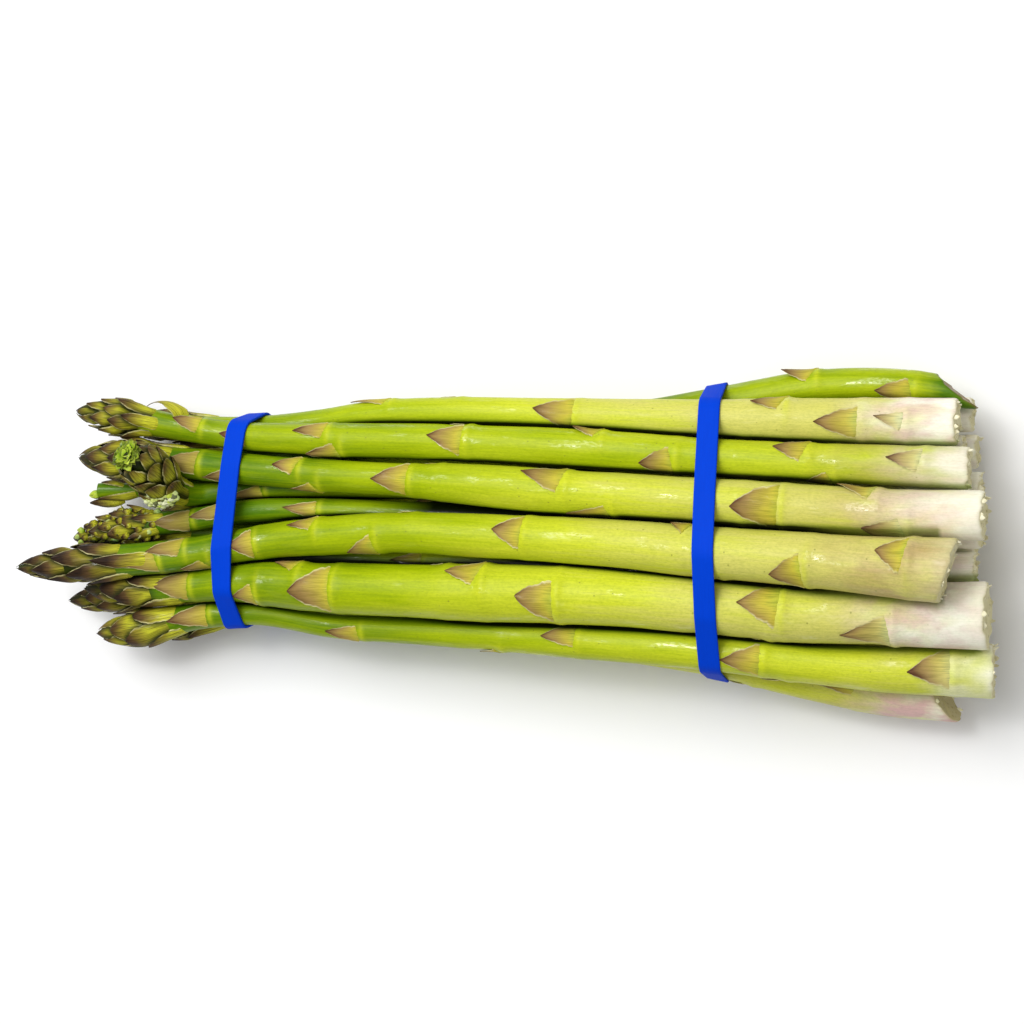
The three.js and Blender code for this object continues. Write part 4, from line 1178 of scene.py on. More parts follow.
@dataclass
class Stem:
    """The stem and the head's core as one tube over (length, angle), with a slanted, frayed cut end."""

    spear: Spear
    rim_rows: Row = (0.0, 0.12, 0.5)  # lengths of the first rows, at the cut end's rim
    even_ends: Row = (1.2, 0.6)  # how far the even rows stay from the butt and from the end
    node_reach: Row = (-2.2, 1.0)  # from where to where beside a node the rows are closer together
    # the waves of the rim: how many go round, and how deep they are
    fray: tuple[tuple[int, float], ...] = ((3, 0.2), (7, 0.17), (13, 0.13), (19, 0.08))
    slant_length: float = 14.0  # the length over which the cut's slant dies out
    rounded: Row = (0.5, 0.25)  # how far the rim is rounded off, and over what length
    # how far behind a node its line lies, its spread along, and its spread round in degrees
    node_line: Row = (0.8, 0.8, 58)
    cap_rings: Row = (0.12, 0.4, 0.66, 0.86, 0.97)  # radii of the cap's rings, as shares of the rim's
    dish: float = 0.5  # how far the cap's middle is sunk
    inner_fibres: int = 4

    def rows(self) -> Array:
        """Lengths of the rows: even steps, closer together at each node and near the butt.

        Returns:
            The lengths, from the butt on.
        """
        spear = self.spear
        end = spear.length
        if not spear.plan.snapped:
            end = spear.head_start + CORE_END * (spear.length - spear.head_start)
        even = np.arange(self.even_ends[0], end - self.even_ends[1], spear.detail.row_step)
        reach = np.linspace(*self.node_reach, spear.detail.node_rows)
        near = [spear.length_at(bract.x) + reach for bract in spear.bracts]
        rows = np.sort(np.concatenate([self.rim_rows, even, *near, [end]]))
        rows = rows[(rows >= 0) & (rows <= end)]
        return rows[np.concatenate([[True], np.diff(rows) > 0.1])]

    @property
    def edge(self) -> float:
        """The radius of the cut end."""
        return float(self.spear.girth(self.spear.plan.butt)) / 2

    def slant(self, angle: Array | float) -> Array | float:
        """How far the cut's rim lies up the stem at an angle in radians."""
        across, upright = self.spear.plan.cut
        return -(across * np.sin(angle) + upright * np.cos(angle)) * self.edge

    def add_tube(self) -> None:
        """Adds the tube. Its cap is a dish of pitted rings, each a smaller copy of the cut's rim."""
        spear = self.spear
        rows = self.rows()[:, None]
        degrees = np.linspace(0, 360, spear.detail.around, endpoint=False)[None]
        angle = np.radians(degrees)
        fray = sum(depth * np.sin(n * angle + spear.seed * n) for n, depth in self.fray)
        lengths = rows + (self.slant(angle) + fray) * np.clip(1 - rows / self.slant_length, 0, 1)
        radius = spear.stem_radius(lengths, degrees) - self.rounded[0] * np.exp(-rows / self.rounded[1])
        points, skin = spear.skin(lengths, degrees, radius)
        behind, along, round_it = self.node_line
        line = np.zeros(points.shape[:2])
        for bract in spear.bracts:
            line = np.maximum(line, bell(lengths - spear.length_at(bract.x) + behind, along)
                              * bell(wrapped(degrees - bract.degrees), round_it))
        values = spear.dress(lengths, line.shape) | {"node": line * spear.clear_of_bands(lengths)}
        if not spear.plan.snapped:
            # painted shade: the head's core, deep under its scales, is darkened
            core = smoothstep(0, 0.2, spear.head_share(lengths))
            values |= {"dark": core, "head": core}
        shares = np.array(self.cap_rings)[:, None]
        middle = points[0].mean(0)
        cap = middle + shares[..., None] * (points[0] - middle)
        pits = 0.25 * np.sin(5 * shares + spear.seed) * np.cos(4 * angle + 7 * shares) * (1 - shares)
        cap[..., 0] += pits - self.dish * (1 - shares**2)
        flat = spear.pattern_radius * shares
        cap_skin = np.stack([flat * np.cos(angle), flat * np.sin(angle),
                             np.full(cap.shape[:2], spear.pattern_shift * spear.seed)], axis=-1)
        whole = {name: np.concatenate([np.broadcast_to(value[:1], cap.shape[:2]), value])
                 for name, value in values.items()}
        stain = np.exp(-np.broadcast_to(rows, line.shape) / 0.2)
        whole["cut"] = np.concatenate([np.ones(cap.shape[:2]), stain])
        spear.parts.add_loops(np.concatenate([cap, points]), np.concatenate([cap_skin, skin]), **whole)

    def add_fibres(self) -> None:
        """Adds the torn fibres that stand out of the cut end's rim."""
        spear = self.spear
        draw = spear.rng.uniform
        for _ in range(self.inner_fibres if spear.plan.inner else spear.plan.fibres):
            angle = draw(0, 2 * math.pi)
            radius = self.edge * draw(0.86, 0.99)
            place = spear.axes(float(self.slant(angle)) + 0.6, math.degrees(angle), radius)
            fibre = Petal(place, -draw(0.7, 1.8), draw(0.5, 1.7), draw(-0.12, 0.1), draw(-0.2, 0.2))
            fibre.add_to(spear, frayed=1.0)


@dataclass
class Head:
    """A spear's head: scales in a spiral by the golden angle, shorter and closer towards the tip, and what
    grows among them."""

    spear: Spear
    inner_scales: int = 15
    # where the first scale ends, as a share of the head, and how much further the last one does
    ends: Row = (0.26, 0.84)
    rosette_room: float = 1.5  # how far a rosette's scales stay from its tip
    turned: float = 11.0  # the most degrees by which a scale is turned from its place in the spiral
    lean: float = 10.0  # the most degrees by which a scale's point leans to a side
    # of a budded head: how many, from where to where, and how far past the first scale they start
    buds: tuple[int, float, float, float] = (80, 0.0, 0.93, 40.0)
    florets: tuple[int, float, float, float] = (16, 0.0, 0.5, 90.0)
    # of a rosette's open middle: how many small leaves, and how wide it is
    ruffle: tuple[int, float] = (70, 3.3)
    # of the tuft at a rosette's foot: how many buds, and how far it reaches along and across
    bloom: tuple[int, float, float] = (46, 4.4, 2.3)
    # its middle, the direction out of it and the direction along it
    bloom_place: tuple[Row, Row, Row] = ((-82.8, 9.4, 34.6), (0.1, -0.55, 0.83), (-0.99, -0.1, 0.05))
    # of a broken head: rows of x, degrees round, length and half the width in degrees
    husks: tuple[Row, ...] = ((-95, 300, 12, 55), (-99, 62, 7, 48))

    def add(self) -> None:
        """Adds the whole head to the spear's mesh."""
        kind = self.spear.plan.head
        if kind is HeadKind.SNAPPED:
            self.add_snapped_end()
            return
        scales = self.scales(kind)
        for i, scale in enumerate(scales):
            scale.add_to(self.spear, scales[:i])
        if kind is HeadKind.BUDDED:
            self.add_buds()
            self.add_florets()
        elif kind is HeadKind.ROSETTE:
            self.add_ruffle()
            self.add_side_bloom()

    def scales(self, kind: HeadKind) -> list[Scale]:
        """Plans the scales.

        Args:
            kind: the kind of head.

        Returns:
            The scales, from the base on.
        """
        spear, style, draw = self.spear, kind.value, self.spear.rng.uniform
        count = self.inner_scales if spear.plan.inner else style.count
        head = spear.length - spear.head_start
        room = self.rosette_room if kind is HeadKind.ROSETTE else 0
        found: list[Scale] = []
        for i in range(count):
            climb = i / (count - 1)
            length = (style.longest + (style.shortest - style.longest) * climb) * draw(0.88, 1.12)
            end = spear.head_start + head * (self.ends[0] + self.ends[1] * climb**0.95) + draw(-0.4, 0.4)
            end = min(end, spear.length + draw(-0.3, 0.1) - room)
            half = style.half_base + (style.half_tip - style.half_base) * climb
            found.append(Scale(
                end - length, length,
                spear.first_angle + i * GOLDEN_ANGLE + draw(-self.turned, self.turned),
                draw(-self.lean, self.lean) * (1 - climb),
                half * draw(0.9, 1.12),
                (style.spread + style.unruly * draw(0, 1) ** 2) * (1 - 0.8 * climb**3),
                style.bulge * (1 - 0.5 * climb),
                style.point * draw(0.9, 1.1),
            ))
        return found

    def spots(self, count: int, low: float, high: float, turn: float) -> list[Axes]:
        """Places just over the head's outline, in a spiral by the golden angle.

        Args:
            count: how many.
            low: the share of the head from which they stand.
            high: the share up to which they stand.
            turn: where the spiral starts, in degrees past the first scale.

        Returns:
            The places.
        """
        spear = self.spear
        found: list[Axes] = []
        for i in range(count):
            share = low + (high - low) * (i + 0.5) / count
            length = spear.head_start + (spear.length - spear.head_start) * share
            radius = float(spear.outline(np.array(length))) + 0.1
            found.append(spear.axes(length, spear.first_angle + turn + i * GOLDEN_ANGLE, radius))
        return found

    def add_buds(self) -> None:
        """Adds small buds between the scales of a budded head."""
        draw = self.spear.rng.uniform
        for place in self.spots(*self.buds):
            bud = Bud(place, 2.5 * draw(0.7, 1.15), 0.14 * draw(0.2, 1.8), 0.38, leaf=draw(0, 1) > 0.2)
            bud.add_to(self.spear, pale=0.3 * draw(0, 1))

    def add_florets(self) -> None:
        """Adds small leaves that stand up between the scales of a budded head."""
        draw = self.spear.rng.uniform
        for place in self.spots(*self.florets):
            size, width, lean = 1.8 * draw(0.7, 1.3), 1.8 * draw(0.45, 0.7), draw(0.2, 0.6)
            leaf = Petal(place, size, width, lean, draw(-0.2, 0.3))
            leaf.add_to(self.spear, blade=1.0, head=1.0, bud=0.7 * draw(0, 1), pale=0.5 * draw(0, 1))

    def add_ruffle(self) -> None:
        """Adds the open middle of a rosette: small leaves in a spiral over the blunt end of the head, which
        stand straighter out the nearer they are to its rim."""
        spear, draw = self.spear, self.spear.rng.uniform
        count, reach = self.ruffle
        for i in range(count):
            out = reach * math.sqrt((i + 0.4) / count)
            size = draw(0.9, 1.6)
            place = spear.axes(spear.length - 1.2 + draw(-0.3, 0.3), i * GOLDEN_ANGLE, out)
            width, lean = size * draw(1.0, 1.6), 0.15 + 0.22 * out * draw(0.5, 1.2)
            leaf = Petal(place, size, width, lean, draw(-0.2, 0.8))
            # some leaves get painted shade, at random and more so towards the rim
            leaf.add_to(spear, bud=1.0, dark=0.85 * float(smoothstep(0.3, 1.0, draw(0, 0.6) + 0.16 * out)))

    def add_side_bloom(self) -> None:
        """Adds a second, paler tuft at the rosette's foot: buds in a spiral over a low dome."""
        spear, draw = self.spear, self.spear.rng.uniform
        count, reach, breadth = self.bloom
        middle, out, ahead = (np.array(row) for row in self.bloom_place)
        side = np.cross(ahead, out)
        for i in range(count):
            away = math.sqrt((i + 0.4) / count)
            turn = math.radians(i * GOLDEN_ANGLE)
            here = middle + reach * away * math.cos(turn) * ahead + breadth * away * math.sin(turn) * side
            place = (here - (0.4 + 0.9 * away**2) * out, out, ahead)
            bud = Bud(place, draw(1.2, 2.1), draw(0.6, 1.0), 0.5)
            # some buds get painted shade, picked at random
            bud.add_to(spear, pale=0.8 * draw(0, 1), dark=0.85 * float(draw(0, 1) > 0.8))

    def add_snapped_end(self) -> None:
        """Adds two pointed scales and three buds beside the break of a head that is gone."""
        spear = self.spear
        v = np.linspace(0, 1, 16)[:, None]
        u = np.linspace(-1, 1, 11)[None]
        for x, degrees, length, half in self.husks:
            lengths = float(spear.length_at(x)) + length * v + 0 * u
            turned = degrees + np.maximum(half * (1 - v) ** 0.6, 2) * u
            radius = (spear.girth(spear.plan.tip) / 2 + 0.2 * (1 - v) - 0.3 + 1.0 * smoothstep(0, 0.4, v)
                      + 0.3 * (1 - u**2) * np.sin(np.pi * v))
            spear.add_blade(lengths, turned, radius, 0.2 + 0.5 * (1 - v) + 0 * u, v, u, blade=1.0, head=1.0)
        Bud(spear.axes(float(spear.length_at(-103.5)), 262, 3.1), 10.0, 0.0, 0.13, leaf=True).add_to(spear)
        Bud(spear.axes(spear.length + 0.9, 235, 1.1), 3.4, 0.12).add_to(spear)
        Bud(spear.axes(spear.length + 0.2, 300, 1.4), 2.2, 0.2).add_to(spear)


@dataclass
class Crowd:
    """Where every spear's skin lies, to tell how closely the others hem a place in, for painted shade."""

    spears: list[Spear]
    table: Row = (-126.0, 126.0, 0.5)  # from where to where along x they are tabulated, and the step
    blunt: float = 3.0  # the length over which a spear's ends count less
    # how much a spear level with the place counts, how much more for each millimetre up, and the least
    height: Row = (0.66, 0.12, 0.22)
    shaded_side: float = 1.25  # how much a spear on the side away from the light counts
    # how much one towards the light counts, and how much more for each millimetre up
    lit_side: Row = (0.45, 0.2)
    lit_reach: float = 3.0  # up to how many millimetres
    grazing: float = 0.3  # how far past a right angle a spear still counts
    falloff: int = 5  # the power by which it counts less with its distance
    hemmed: Row = (0.06, 0.34)  # the sums at which a place is open and at which it is in a deep gap
    open_end: Row = (70, 108)  # where along x the gaps open towards the butts
    out_of_shade: Row = (78, 96)  # where along x a buried spear comes out again and its painted shade ends

    def __post_init__(self) -> None:
        """Tabulates every centreline and radius along x."""
        self.x = np.arange(*self.table)
        self.rows = []
        for spear in self.spears:
            _, y, z = spear.centre(self.x).T
            inside = np.minimum(self.x - spear.plan.tip, spear.plan.butt - self.x)
            radius = smoothstep(0, self.blunt, inside) * spear.outline(spear.length_at(self.x))
            self.rows.append((y, z, radius))

    def closeness(self, points: Array, own: Spear) -> Array:
        """How much painted shade the other spears give a place by hemming it in: each counts the more the
        nearer and the higher it is, the more squarely the place faces it, and on the side away from the
        light.

        Args:
            points: the places, with a last axis of 3.
            own: the spear that they belong to.

        Returns:
            0 for each open place, to 1 where it is in a deep gap.
        """
        x, *place = points.T
        own_row = self.rows[self.spears.index(own)]
        facing = [here - np.interp(x, self.x, values) for here, values in zip(place, own_row[:2])]
        size = np.maximum(np.hypot(*facing), 1e-6)
        total = np.zeros(len(points))
        for spear, row in zip(self.spears, self.rows):
            if spear is own:
                continue
            y, z, radius = (np.interp(x, self.x, values) for values in row)
            to_y, to_z = y - place[0], z - place[1]
            distance = np.maximum(np.hypot(to_y, to_z), 0.1)
            square = (facing[0] * to_y + facing[1] * to_z) / (size * distance)
            above = np.clip(self.height[0] + self.height[1] * to_z, self.height[2], 1)
            lit = self.lit_side[0] + self.lit_side[1] * np.clip(to_z, 0, self.lit_reach)
            weight = np.where(to_y < 0, self.shaded_side, lit) * above
            faced = np.clip((square + self.grazing) / (1 + self.grazing), 0, 1)
            total += weight * faced * np.clip(radius / distance, 0, 1) ** self.falloff
        closed = smoothstep(*self.hemmed, total) * (1 - 0.5 * smoothstep(*self.open_end, x))
        # a buried spear is painted in deep shade over its buried stretch
        if not own.plan.buried_in_shade:
            return closed
        return np.maximum(closed, smoothstep(*own.plan.buried_in_shade, x) * (1 - smoothstep(*self.out_of_shade, x)))


# ---- Bands ----


@dataclass
class Band:
    """A flat rubber band stretched round every spear."""

    plan: BandPlan
    spears: list[Spear]
    steps: int = 460  # sections round it
    directions: int = 1440  # directions in which the outline is sought
    gap: float = 0.24  # how far it lies off the stems
    corner: float = 0.28  # radius of the section's corners
    flat_within: float = 10.0  # how far from straight down, in degrees, it is pressed flat
    skin_radius: float = 30.0  # radius of the ring on which the finish's patterns lie

    def sections(self, edge: float) -> tuple[Array, Array]:
        """Where a line along the band crosses each spear, found in three rounds.

        Args:
            edge: how far the line lies from the band's middle.

        Returns:
            The crossed sections' middles (y, z) and radii.
        """
        middles, radii = [], []
        for spear in self.spears:
            x = np.array(self.plan.x + edge)
            for _ in range(3):
                _, y, z = spear.centre(x)
                x = self.plan.edge_x(edge, y, z)
            middles.append(spear.centre(x)[1:])
            radii.append(float(spear.girth(x)) / 2)
        return np.array(middles), np.array(radii)

    def outline(self, edge: float) -> tuple[Array, Array]:
        """The tight outline round the sections, one gap away: direction by direction it follows the
        section that reaches furthest, and is then cut into equal steps.

        Args:
            edge: how far the line lies from the band's middle.

        Returns:
            The outline's points (y, z) and its outward normals.
        """
        middles, radii = self.sections(edge)
        angle = np.linspace(-0.5 * np.pi, 1.5 * np.pi, self.directions + 1)
        normal = np.stack([np.cos(angle), np.sin(angle)], axis=-1)
        reach = normal @ middles.T + radii
        furthest = reach.argmax(axis=1)
        points = middles[furthest] + (radii[furthest] + self.gap)[:, None] * normal
        lengths = np.concatenate([[0], np.cumsum(np.linalg.norm(np.diff(points, axis=0), axis=1))])
        places = lengths[-1] * np.arange(self.steps) / self.steps
        pick = [np.interp(places, lengths, values) for values in (*points.T, *normal.T)]
        return np.stack(pick[:2], -1), np.stack(pick[2:], -1)

    def profile(self) -> Array:
        """The band's section: a flat rectangle with round corners.

        Returns:
            Its points as (distance from the band's middle, height above its inside).
        """
        r, thick = self.corner, self.plan.thickness
        side, top = self.plan.width / 2 - r, thick - r
        turn = np.radians(np.linspace(0, 90, 5))
        corners = []
        for k, (edge, height) in enumerate(((side, top), (-side, top), (-side, r), (side, r))):
            angle = turn + k * np.pi / 2
            corners.append(np.stack([edge + r * np.cos(angle), height + r * np.sin(angle)], -1))
        flat = np.stack([np.linspace(side, -side, 7)[1:-1], np.full(5, thick)], -1)
        under = flat[::-1] * np.array([1, 0])
        return np.concatenate([corners[0], flat, corners[1], corners[2], under, corners[3]])

    def build(self, finish: bpy.types.Material) -> bpy.types.Object:
        """Carries the section round the outline, pressed flat underneath.

        Args:
            finish: the material.

        Returns:
            The band.
        """
        columns, skins = [], []
        cap = math.cos(math.radians(self.flat_within))
        for edge, height in self.profile():
            points, normal = self.outline(float(edge))
            y, z = (points + normal * height).T
            under = smoothstep(cap - 0.02, cap, -normal[:, 1])
            floor = self.plan.thickness - height
            z = np.maximum(z * (1 - under) + floor * under, floor)
            columns.append(np.stack([self.plan.edge_x(edge, y, z), y, z], -1))
            path = np.linspace(0, 2 * np.pi, self.steps, endpoint=False)
            ring = (self.skin_radius * np.cos(path), self.skin_radius * np.sin(path))
            skins.append(np.stack([*ring, np.full(self.steps, edge)], -1))
        parts = MeshParts(())
        parts.add_loops(np.stack(columns, 1), np.stack(skins, 1), ring=True)
        made = parts.build(f"{self.plan.name}_rubber", 60)
        made.data.materials.append(finish)
        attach(made, "root")
        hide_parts(self.plan.name)
        return made


# ---- Shaders ----

Colour = tuple[float, float, float]


class Signal:
    """A number, vector or colour on its way through a material, with Python's operators for numbers."""

    def __init__(self, shader: Shader, socket: bpy.types.NodeSocket) -> None:
        """Wraps an output socket."""
        self.shader = shader
        self.socket = socket

    def __add__(self, other: Signal | float) -> Signal:
        """self + other."""
        return self.shader.math("ADD", self, other)

    __radd__ = __add__

    def __mul__(self, other: Signal | float) -> Signal:
        """self * other."""
        return self.shader.math("MULTIPLY", self, other)

    __rmul__ = __mul__

    def __sub__(self, other: Signal | float) -> Signal:
        """self - other."""
        return self.shader.math("SUBTRACT", self, other)

    def __rsub__(self, other: Signal | float) -> Signal:
        """other - self."""
        return self.shader.math("SUBTRACT", other, self)

    def __pow__(self, other: Signal | float) -> Signal:
        """self to the power of other."""
        return self.shader.math("POWER", self, other)

    def clamped(self) -> Signal:
        """self between 0 and 1."""
        return self.shader.math("MAXIMUM", self.shader.math("MINIMUM", self, 1.0), 0.0)

    def step(self, low: float, high: float) -> Signal:
        """0 below low, 1 above high, smooth between."""
        node = self.shader.node("ShaderNodeMapRange", {"interpolation_type": "SMOOTHSTEP"},
                                {"Value": self, "From Min": low, "From Max": high})
        return Signal(self.shader, node.outputs["Result"])


Value = Signal | float | tuple


class Shader:
    """A material's nodes, made one by one."""

    def __init__(self, name: str) -> None:
        """Starts an empty material.

        Args:
            name: of the material.
        """
        self.material = bpy.data.materials.new(name)
        self.material.use_nodes = True
        self.tree = self.material.node_tree
        self.tree.nodes.clear()

    def node(self, kind: str, settings: dict | None = None, inputs: dict | None = None) -> bpy.types.Node:
        """Adds a node.

        Args:
            kind: the node's type.
            settings: its settings, and under "stops" a ramp's places and colours.
            inputs: its sockets by name or number, each a value or a signal.

        Returns:
            The node.
        """
        node = self.tree.nodes.new(kind)
        for name, value in (settings or {}).items():
            if name == "stops":
                ramp = node.color_ramp
                while len(ramp.elements) < len(value):
                    ramp.elements.new(0.5)
                for element, (place, colour) in zip(ramp.elements, value):
                    element.position = place
                    element.color = (*colour, 1.0)
            else:
                setattr(node, name, value)
        for name, value in (inputs or {}).items():
            if isinstance(value, Signal):
                self.tree.links.new(value.socket, node.inputs[name])
            else:
                node.inputs[name].default_value = value
        return node

    def math(self, operation: str, *values: Signal | float) -> Signal:
        """A Math node on numbers."""
        node = self.node("ShaderNodeMath", {"operation": operation}, dict(enumerate(values)))
        return Signal(self, node.outputs[0])

    def value(self, name: str) -> Signal:
        """The mesh's value of that name."""
        node = self.node("ShaderNodeAttribute", {"attribute_name": name})
        return Signal(self, node.outputs["Fac"])

    def skin(self, *stretch: float) -> Signal:
        """The place on the straightened spear or band.

        Args:
            stretch: by how much it is scaled along each axis.

        Returns:
            The scaled place.
        """
        node = self.node("ShaderNodeAttribute", {"attribute_name": "skin"})
        scaled = self.node("ShaderNodeVectorMath", {"operation": "MULTIPLY"},
                           {0: Signal(self, node.outputs["Vector"]), 1: stretch})
        return Signal(self, scaled.outputs[0])

    def noise(self, vector: Signal, detail: float = 2.0, roughness: float = 0.5) -> Signal:
        """Soft noise from 0 to 1."""
        node = self.node("ShaderNodeTexNoise", None,
                         {"Vector": vector, "Scale": 1.0, "Detail": detail, "Roughness": roughness})
        return Signal(self, node.outputs["Fac"])

    def cells(self, vector: Signal) -> Signal:
        """Distance to the nearest of many scattered points."""
        node = self.node("ShaderNodeTexVoronoi", None, {"Vector": vector, "Scale": 1.0, "Randomness": 1.0})
        return Signal(self, node.outputs["Distance"])

    def ramp(self, place: Signal, *stops: tuple[float, Colour]) -> Signal:
        """A colour by place between given stops."""
        node = self.node("ShaderNodeValToRGB", {"stops": stops}, {"Fac": place})
        return Signal(self, node.outputs["Color"])

    def blend(self, share: Value, first: Value, second: Value, how: str = "MIX") -> Signal:
        """Two colours mixed by a share.

        Args:
            share: 0 for the first alone, 1 for the second.
            first: a colour.
            second: another.
            how: the way of mixing.

        Returns:
            The mixed colour.
        """
        def full(colour: Value) -> Value:
            """A colour with its fourth number."""
            return (*colour, 1.0) if isinstance(colour, tuple) else colour
        node = self.node("ShaderNodeMix", {"data_type": "RGBA", "blend_type": how},
                         {0: share, 6: full(first), 7: full(second)})
        return Signal(self, node.outputs[2])

    def bump(self, height: Signal, depth: float, strength: float = 1.0) -> Signal:
        """A surface roughened by a height in millimetres, with depth the height's full swing."""
        node = self.node("ShaderNodeBump", None,
                         {"Height": height, "Distance": depth * MM, "Strength": strength})
        return Signal(self, node.outputs["Normal"])

    def surface(self, **inputs: Value) -> bpy.types.Material:
        """Ends the material with its surface shader.

        Args:
            inputs: the shader's sockets by name, with _ for a space.

        Returns:
            The material.
        """
        named = {name.replace("_", " "): v for name, v in inputs.items()}
        surface = self.node("ShaderNodeBsdfPrincipled", None, named)
        output = self.node("ShaderNodeOutputMaterial")
        self.tree.links.new(surface.outputs[0], output.inputs["Surface"])
        return self.material


@dataclass(frozen=True)
class SpearFinish:
    """The skin of green asparagus: waxy green stems that fade to cream and mauve at the butts, papery
    bracts, and purple-tipped scales on the heads."""

    deep_green: Colour = (0.090, 0.200, 0.002)
    green: Colour = (0.390, 0.490, 0.003)
    yellow_green: Colour = (0.620, 0.670, 0.030)
    straw: Colour = (0.660, 0.630, 0.140)
    cream: Colour = (0.98, 0.955, 0.80)
    mauve: Colour = (0.74, 0.49, 0.46)
    tan: Colour = (0.50, 0.38, 0.14)
    node_line: Colour = (0.62, 0.66, 0.02)
    bract_base: Colour = (0.45, 0.49, 0.04)
    bract_tan: Colour = (0.54, 0.465, 0.045)
    bract_brown: Colour = (0.35, 0.235, 0.068)
    bract_dusk: Colour = (0.25, 0.19, 0.060)
    # painted shade along the base of each bract, where it meets the stem
    crease_shade: Colour = (0.16, 0.15, 0.02)
    bract_point: Colour = (0.12, 0.05, 0.02)
    paper: Colour = (0.70, 0.65, 0.30)
    scale_green: Colour = (0.58, 0.58, 0.028)
    scale_olive: Colour = (0.33, 0.285, 0.022)
    scale_purple: Colour = (0.120, 0.066, 0.020)
    scale_dark: Colour = (0.028, 0.013, 0.006)
    bud_green: Colour = (0.17, 0.34, 0.004)
    bud_pale: Colour = (0.48, 0.58, 0.05)
    pith: Colour = (0.72, 0.66, 0.36)
    fibre: Colour = (0.42, 0.36, 0.16)
    brown: Colour = (0.22, 0.13, 0.05)
    # painted shade where the "dark" values say: under scales, in creases and in the head's core
    crevice_shade: Colour = (0.014, 0.018, 0.003)
    fleck: Colour = (0.16, 0.17, 0.02)
    white: Colour = (1.0, 1.0, 1.0)  # what leaves a colour as it is
    streaked: Colour = (0.55, 0.60, 0.45)
    grained: Colour = (0.58, 0.64, 0.50)
    veined: Colour = (0.13, 0.11, 0.09)
    # painted shade: what the colour is multiplied by in a shallow gap between spears, and in the deepest
    shaded: Colour = (0.38, 0.46, 0.24)
    buried_in_shade: Colour = (0.015, 0.02, 0.008)

    def make(self) -> bpy.types.Material:
        """Makes the material.

        Returns:
            The material.
        """
        s = Shader("asparagus_skin")
        streak = s.noise(s.skin(1.5, 1.5, 0.05), 3.0)
        fine = s.noise(s.skin(5.0, 5.0, 0.22), 2.0)
        mottle = s.noise(s.skin(0.16, 0.16, 0.035), 2.0)
        patch = s.noise(s.skin(0.32, 0.32, 0.12), 3.0)
        pale, blade, tip, head = s.value("pale"), s.value("blade"), s.value("tip"), s.value("head")
        age = s.value("tone")

        # the stem, from deep green to straw, and paler and flushed towards the butt
        tone = (age + (mottle - 0.5) * 0.6 + (streak - 0.5) * 0.30).clamped()
        stem = s.ramp(tone, (0.0, self.deep_green), (0.36, self.green), (0.72, self.yellow_green),
                      (1.0, self.straw))
        stem = s.blend(s.value("node") * (0.60 - pale * 0.4), stem, self.node_line)
        cloud = s.noise(s.skin(0.19, 0.19, 0.075), 2.0).step(0.34, 0.66)
        faded = (pale * 1.12 + (cloud - 0.5) * 1.7 * pale * (1.25 - pale)).clamped()
        stem = s.blend(faded, stem, self.cream)
        tanned = s.value("tan") * (1 - pale * 0.8) * (cloud * 0.9 + streak * 0.8 - 0.25)
        stem = s.blend(tanned.clamped(), stem, self.tan)
        stem = s.blend((s.value("blush") * (patch * 3.6 - 1.35)).clamped(), stem, self.mauve)
        streaks = s.ramp(fine, (0.30, self.streaked), (0.62, self.white))
        stem = s.blend(0.30 - pale * 0.14, stem, streaks, "MULTIPLY")
        grain = s.noise(s.skin(2.6, 2.6, 1.1), 3.0, 0.65)
        grains = s.ramp(grain, (0.30, self.grained), (0.58, self.white), (0.75, self.white))
        stem = s.blend(0.42 - pale * 0.22, stem, grains, "MULTIPLY")
        flecks = 1 - s.cells(s.skin(0.42, 0.42, 0.30)).step(0.05, 0.09)
        stem = s.blend(flecks * (1 - pale) * 0.55, stem, self.fleck)

        # bracts and scales, darker towards their points and pale at their edges
        ageing = (tip + (patch - 0.5) * 0.5 + (fine - 0.5) * 0.25).clamped()
        rim = s.value("margin") ** 2.0
        worn = (ageing * 0.80 + rim * 0.20 + (mottle - 0.5) * 0.45 + 0.25 - age.step(0.05, 0.35) * 0.10
                - pale * 0.12)
        bract = s.ramp(worn.clamped(), (0.12, self.bract_base), (0.34, self.bract_tan),
                       (0.72, self.bract_brown), (0.98, self.bract_point))
        bract = s.blend(0.5 - age.step(0.0, 0.14) * 0.5, bract, self.bract_dusk)
        bract = s.blend((pale * (0.85 - ageing * 0.75)).clamped(), bract, self.cream)
        # painted shade along the bract's base
        bract = s.blend((1 - tip.step(0.0, 0.05)) * 0.7, bract, self.crease_shade)
        ripe = ageing + (mottle - 0.5) * 0.4 + (s.value("purple") - 0.6) * 0.9
        scale = s.ramp(ripe.clamped(), (0.32, self.scale_green),
                       (0.54, self.scale_olive), (0.78, self.scale_purple), (1.0, self.scale_dark))
        leaf = s.blend(head, bract, scale)
        edge = s.value("margin").step(0.84, 0.98) * (1 - tip.step(0.85, 1.0)) * patch.step(0.28, 0.55)
        leaf = s.blend(edge * 0.85, leaf, self.paper)
        veins = s.ramp(fine, (0.37, self.veined), (0.56, self.white))
        leaf = s.blend(0.34 + head * 0.40, leaf, veins, "MULTIPLY")

        # every part put together, and painted shade where it is covered
        colour = s.blend(blade, stem, leaf)
        bud = s.blend((tip * 1.1 + (patch - 0.5) * 1.4).clamped(), self.bud_green, self.bud_pale)
        bud = s.blend(pale * 0.8, bud, self.cream)
        colour = s.blend(s.value("bud"), colour, bud)
        pores = s.cells(s.skin(1.1, 1.1, 0.4)).step(0.12, 0.34)
        cut = s.blend(pores, self.fibre, self.pith)
        cut = s.blend(s.value("withered"), cut, self.brown)
        colour = s.blend(s.value("cut"), colour, s.blend(patch * 0.35, cut, self.fibre))
        colour = s.blend(s.value("frayed"), colour, s.blend(patch, self.cream, self.pith))
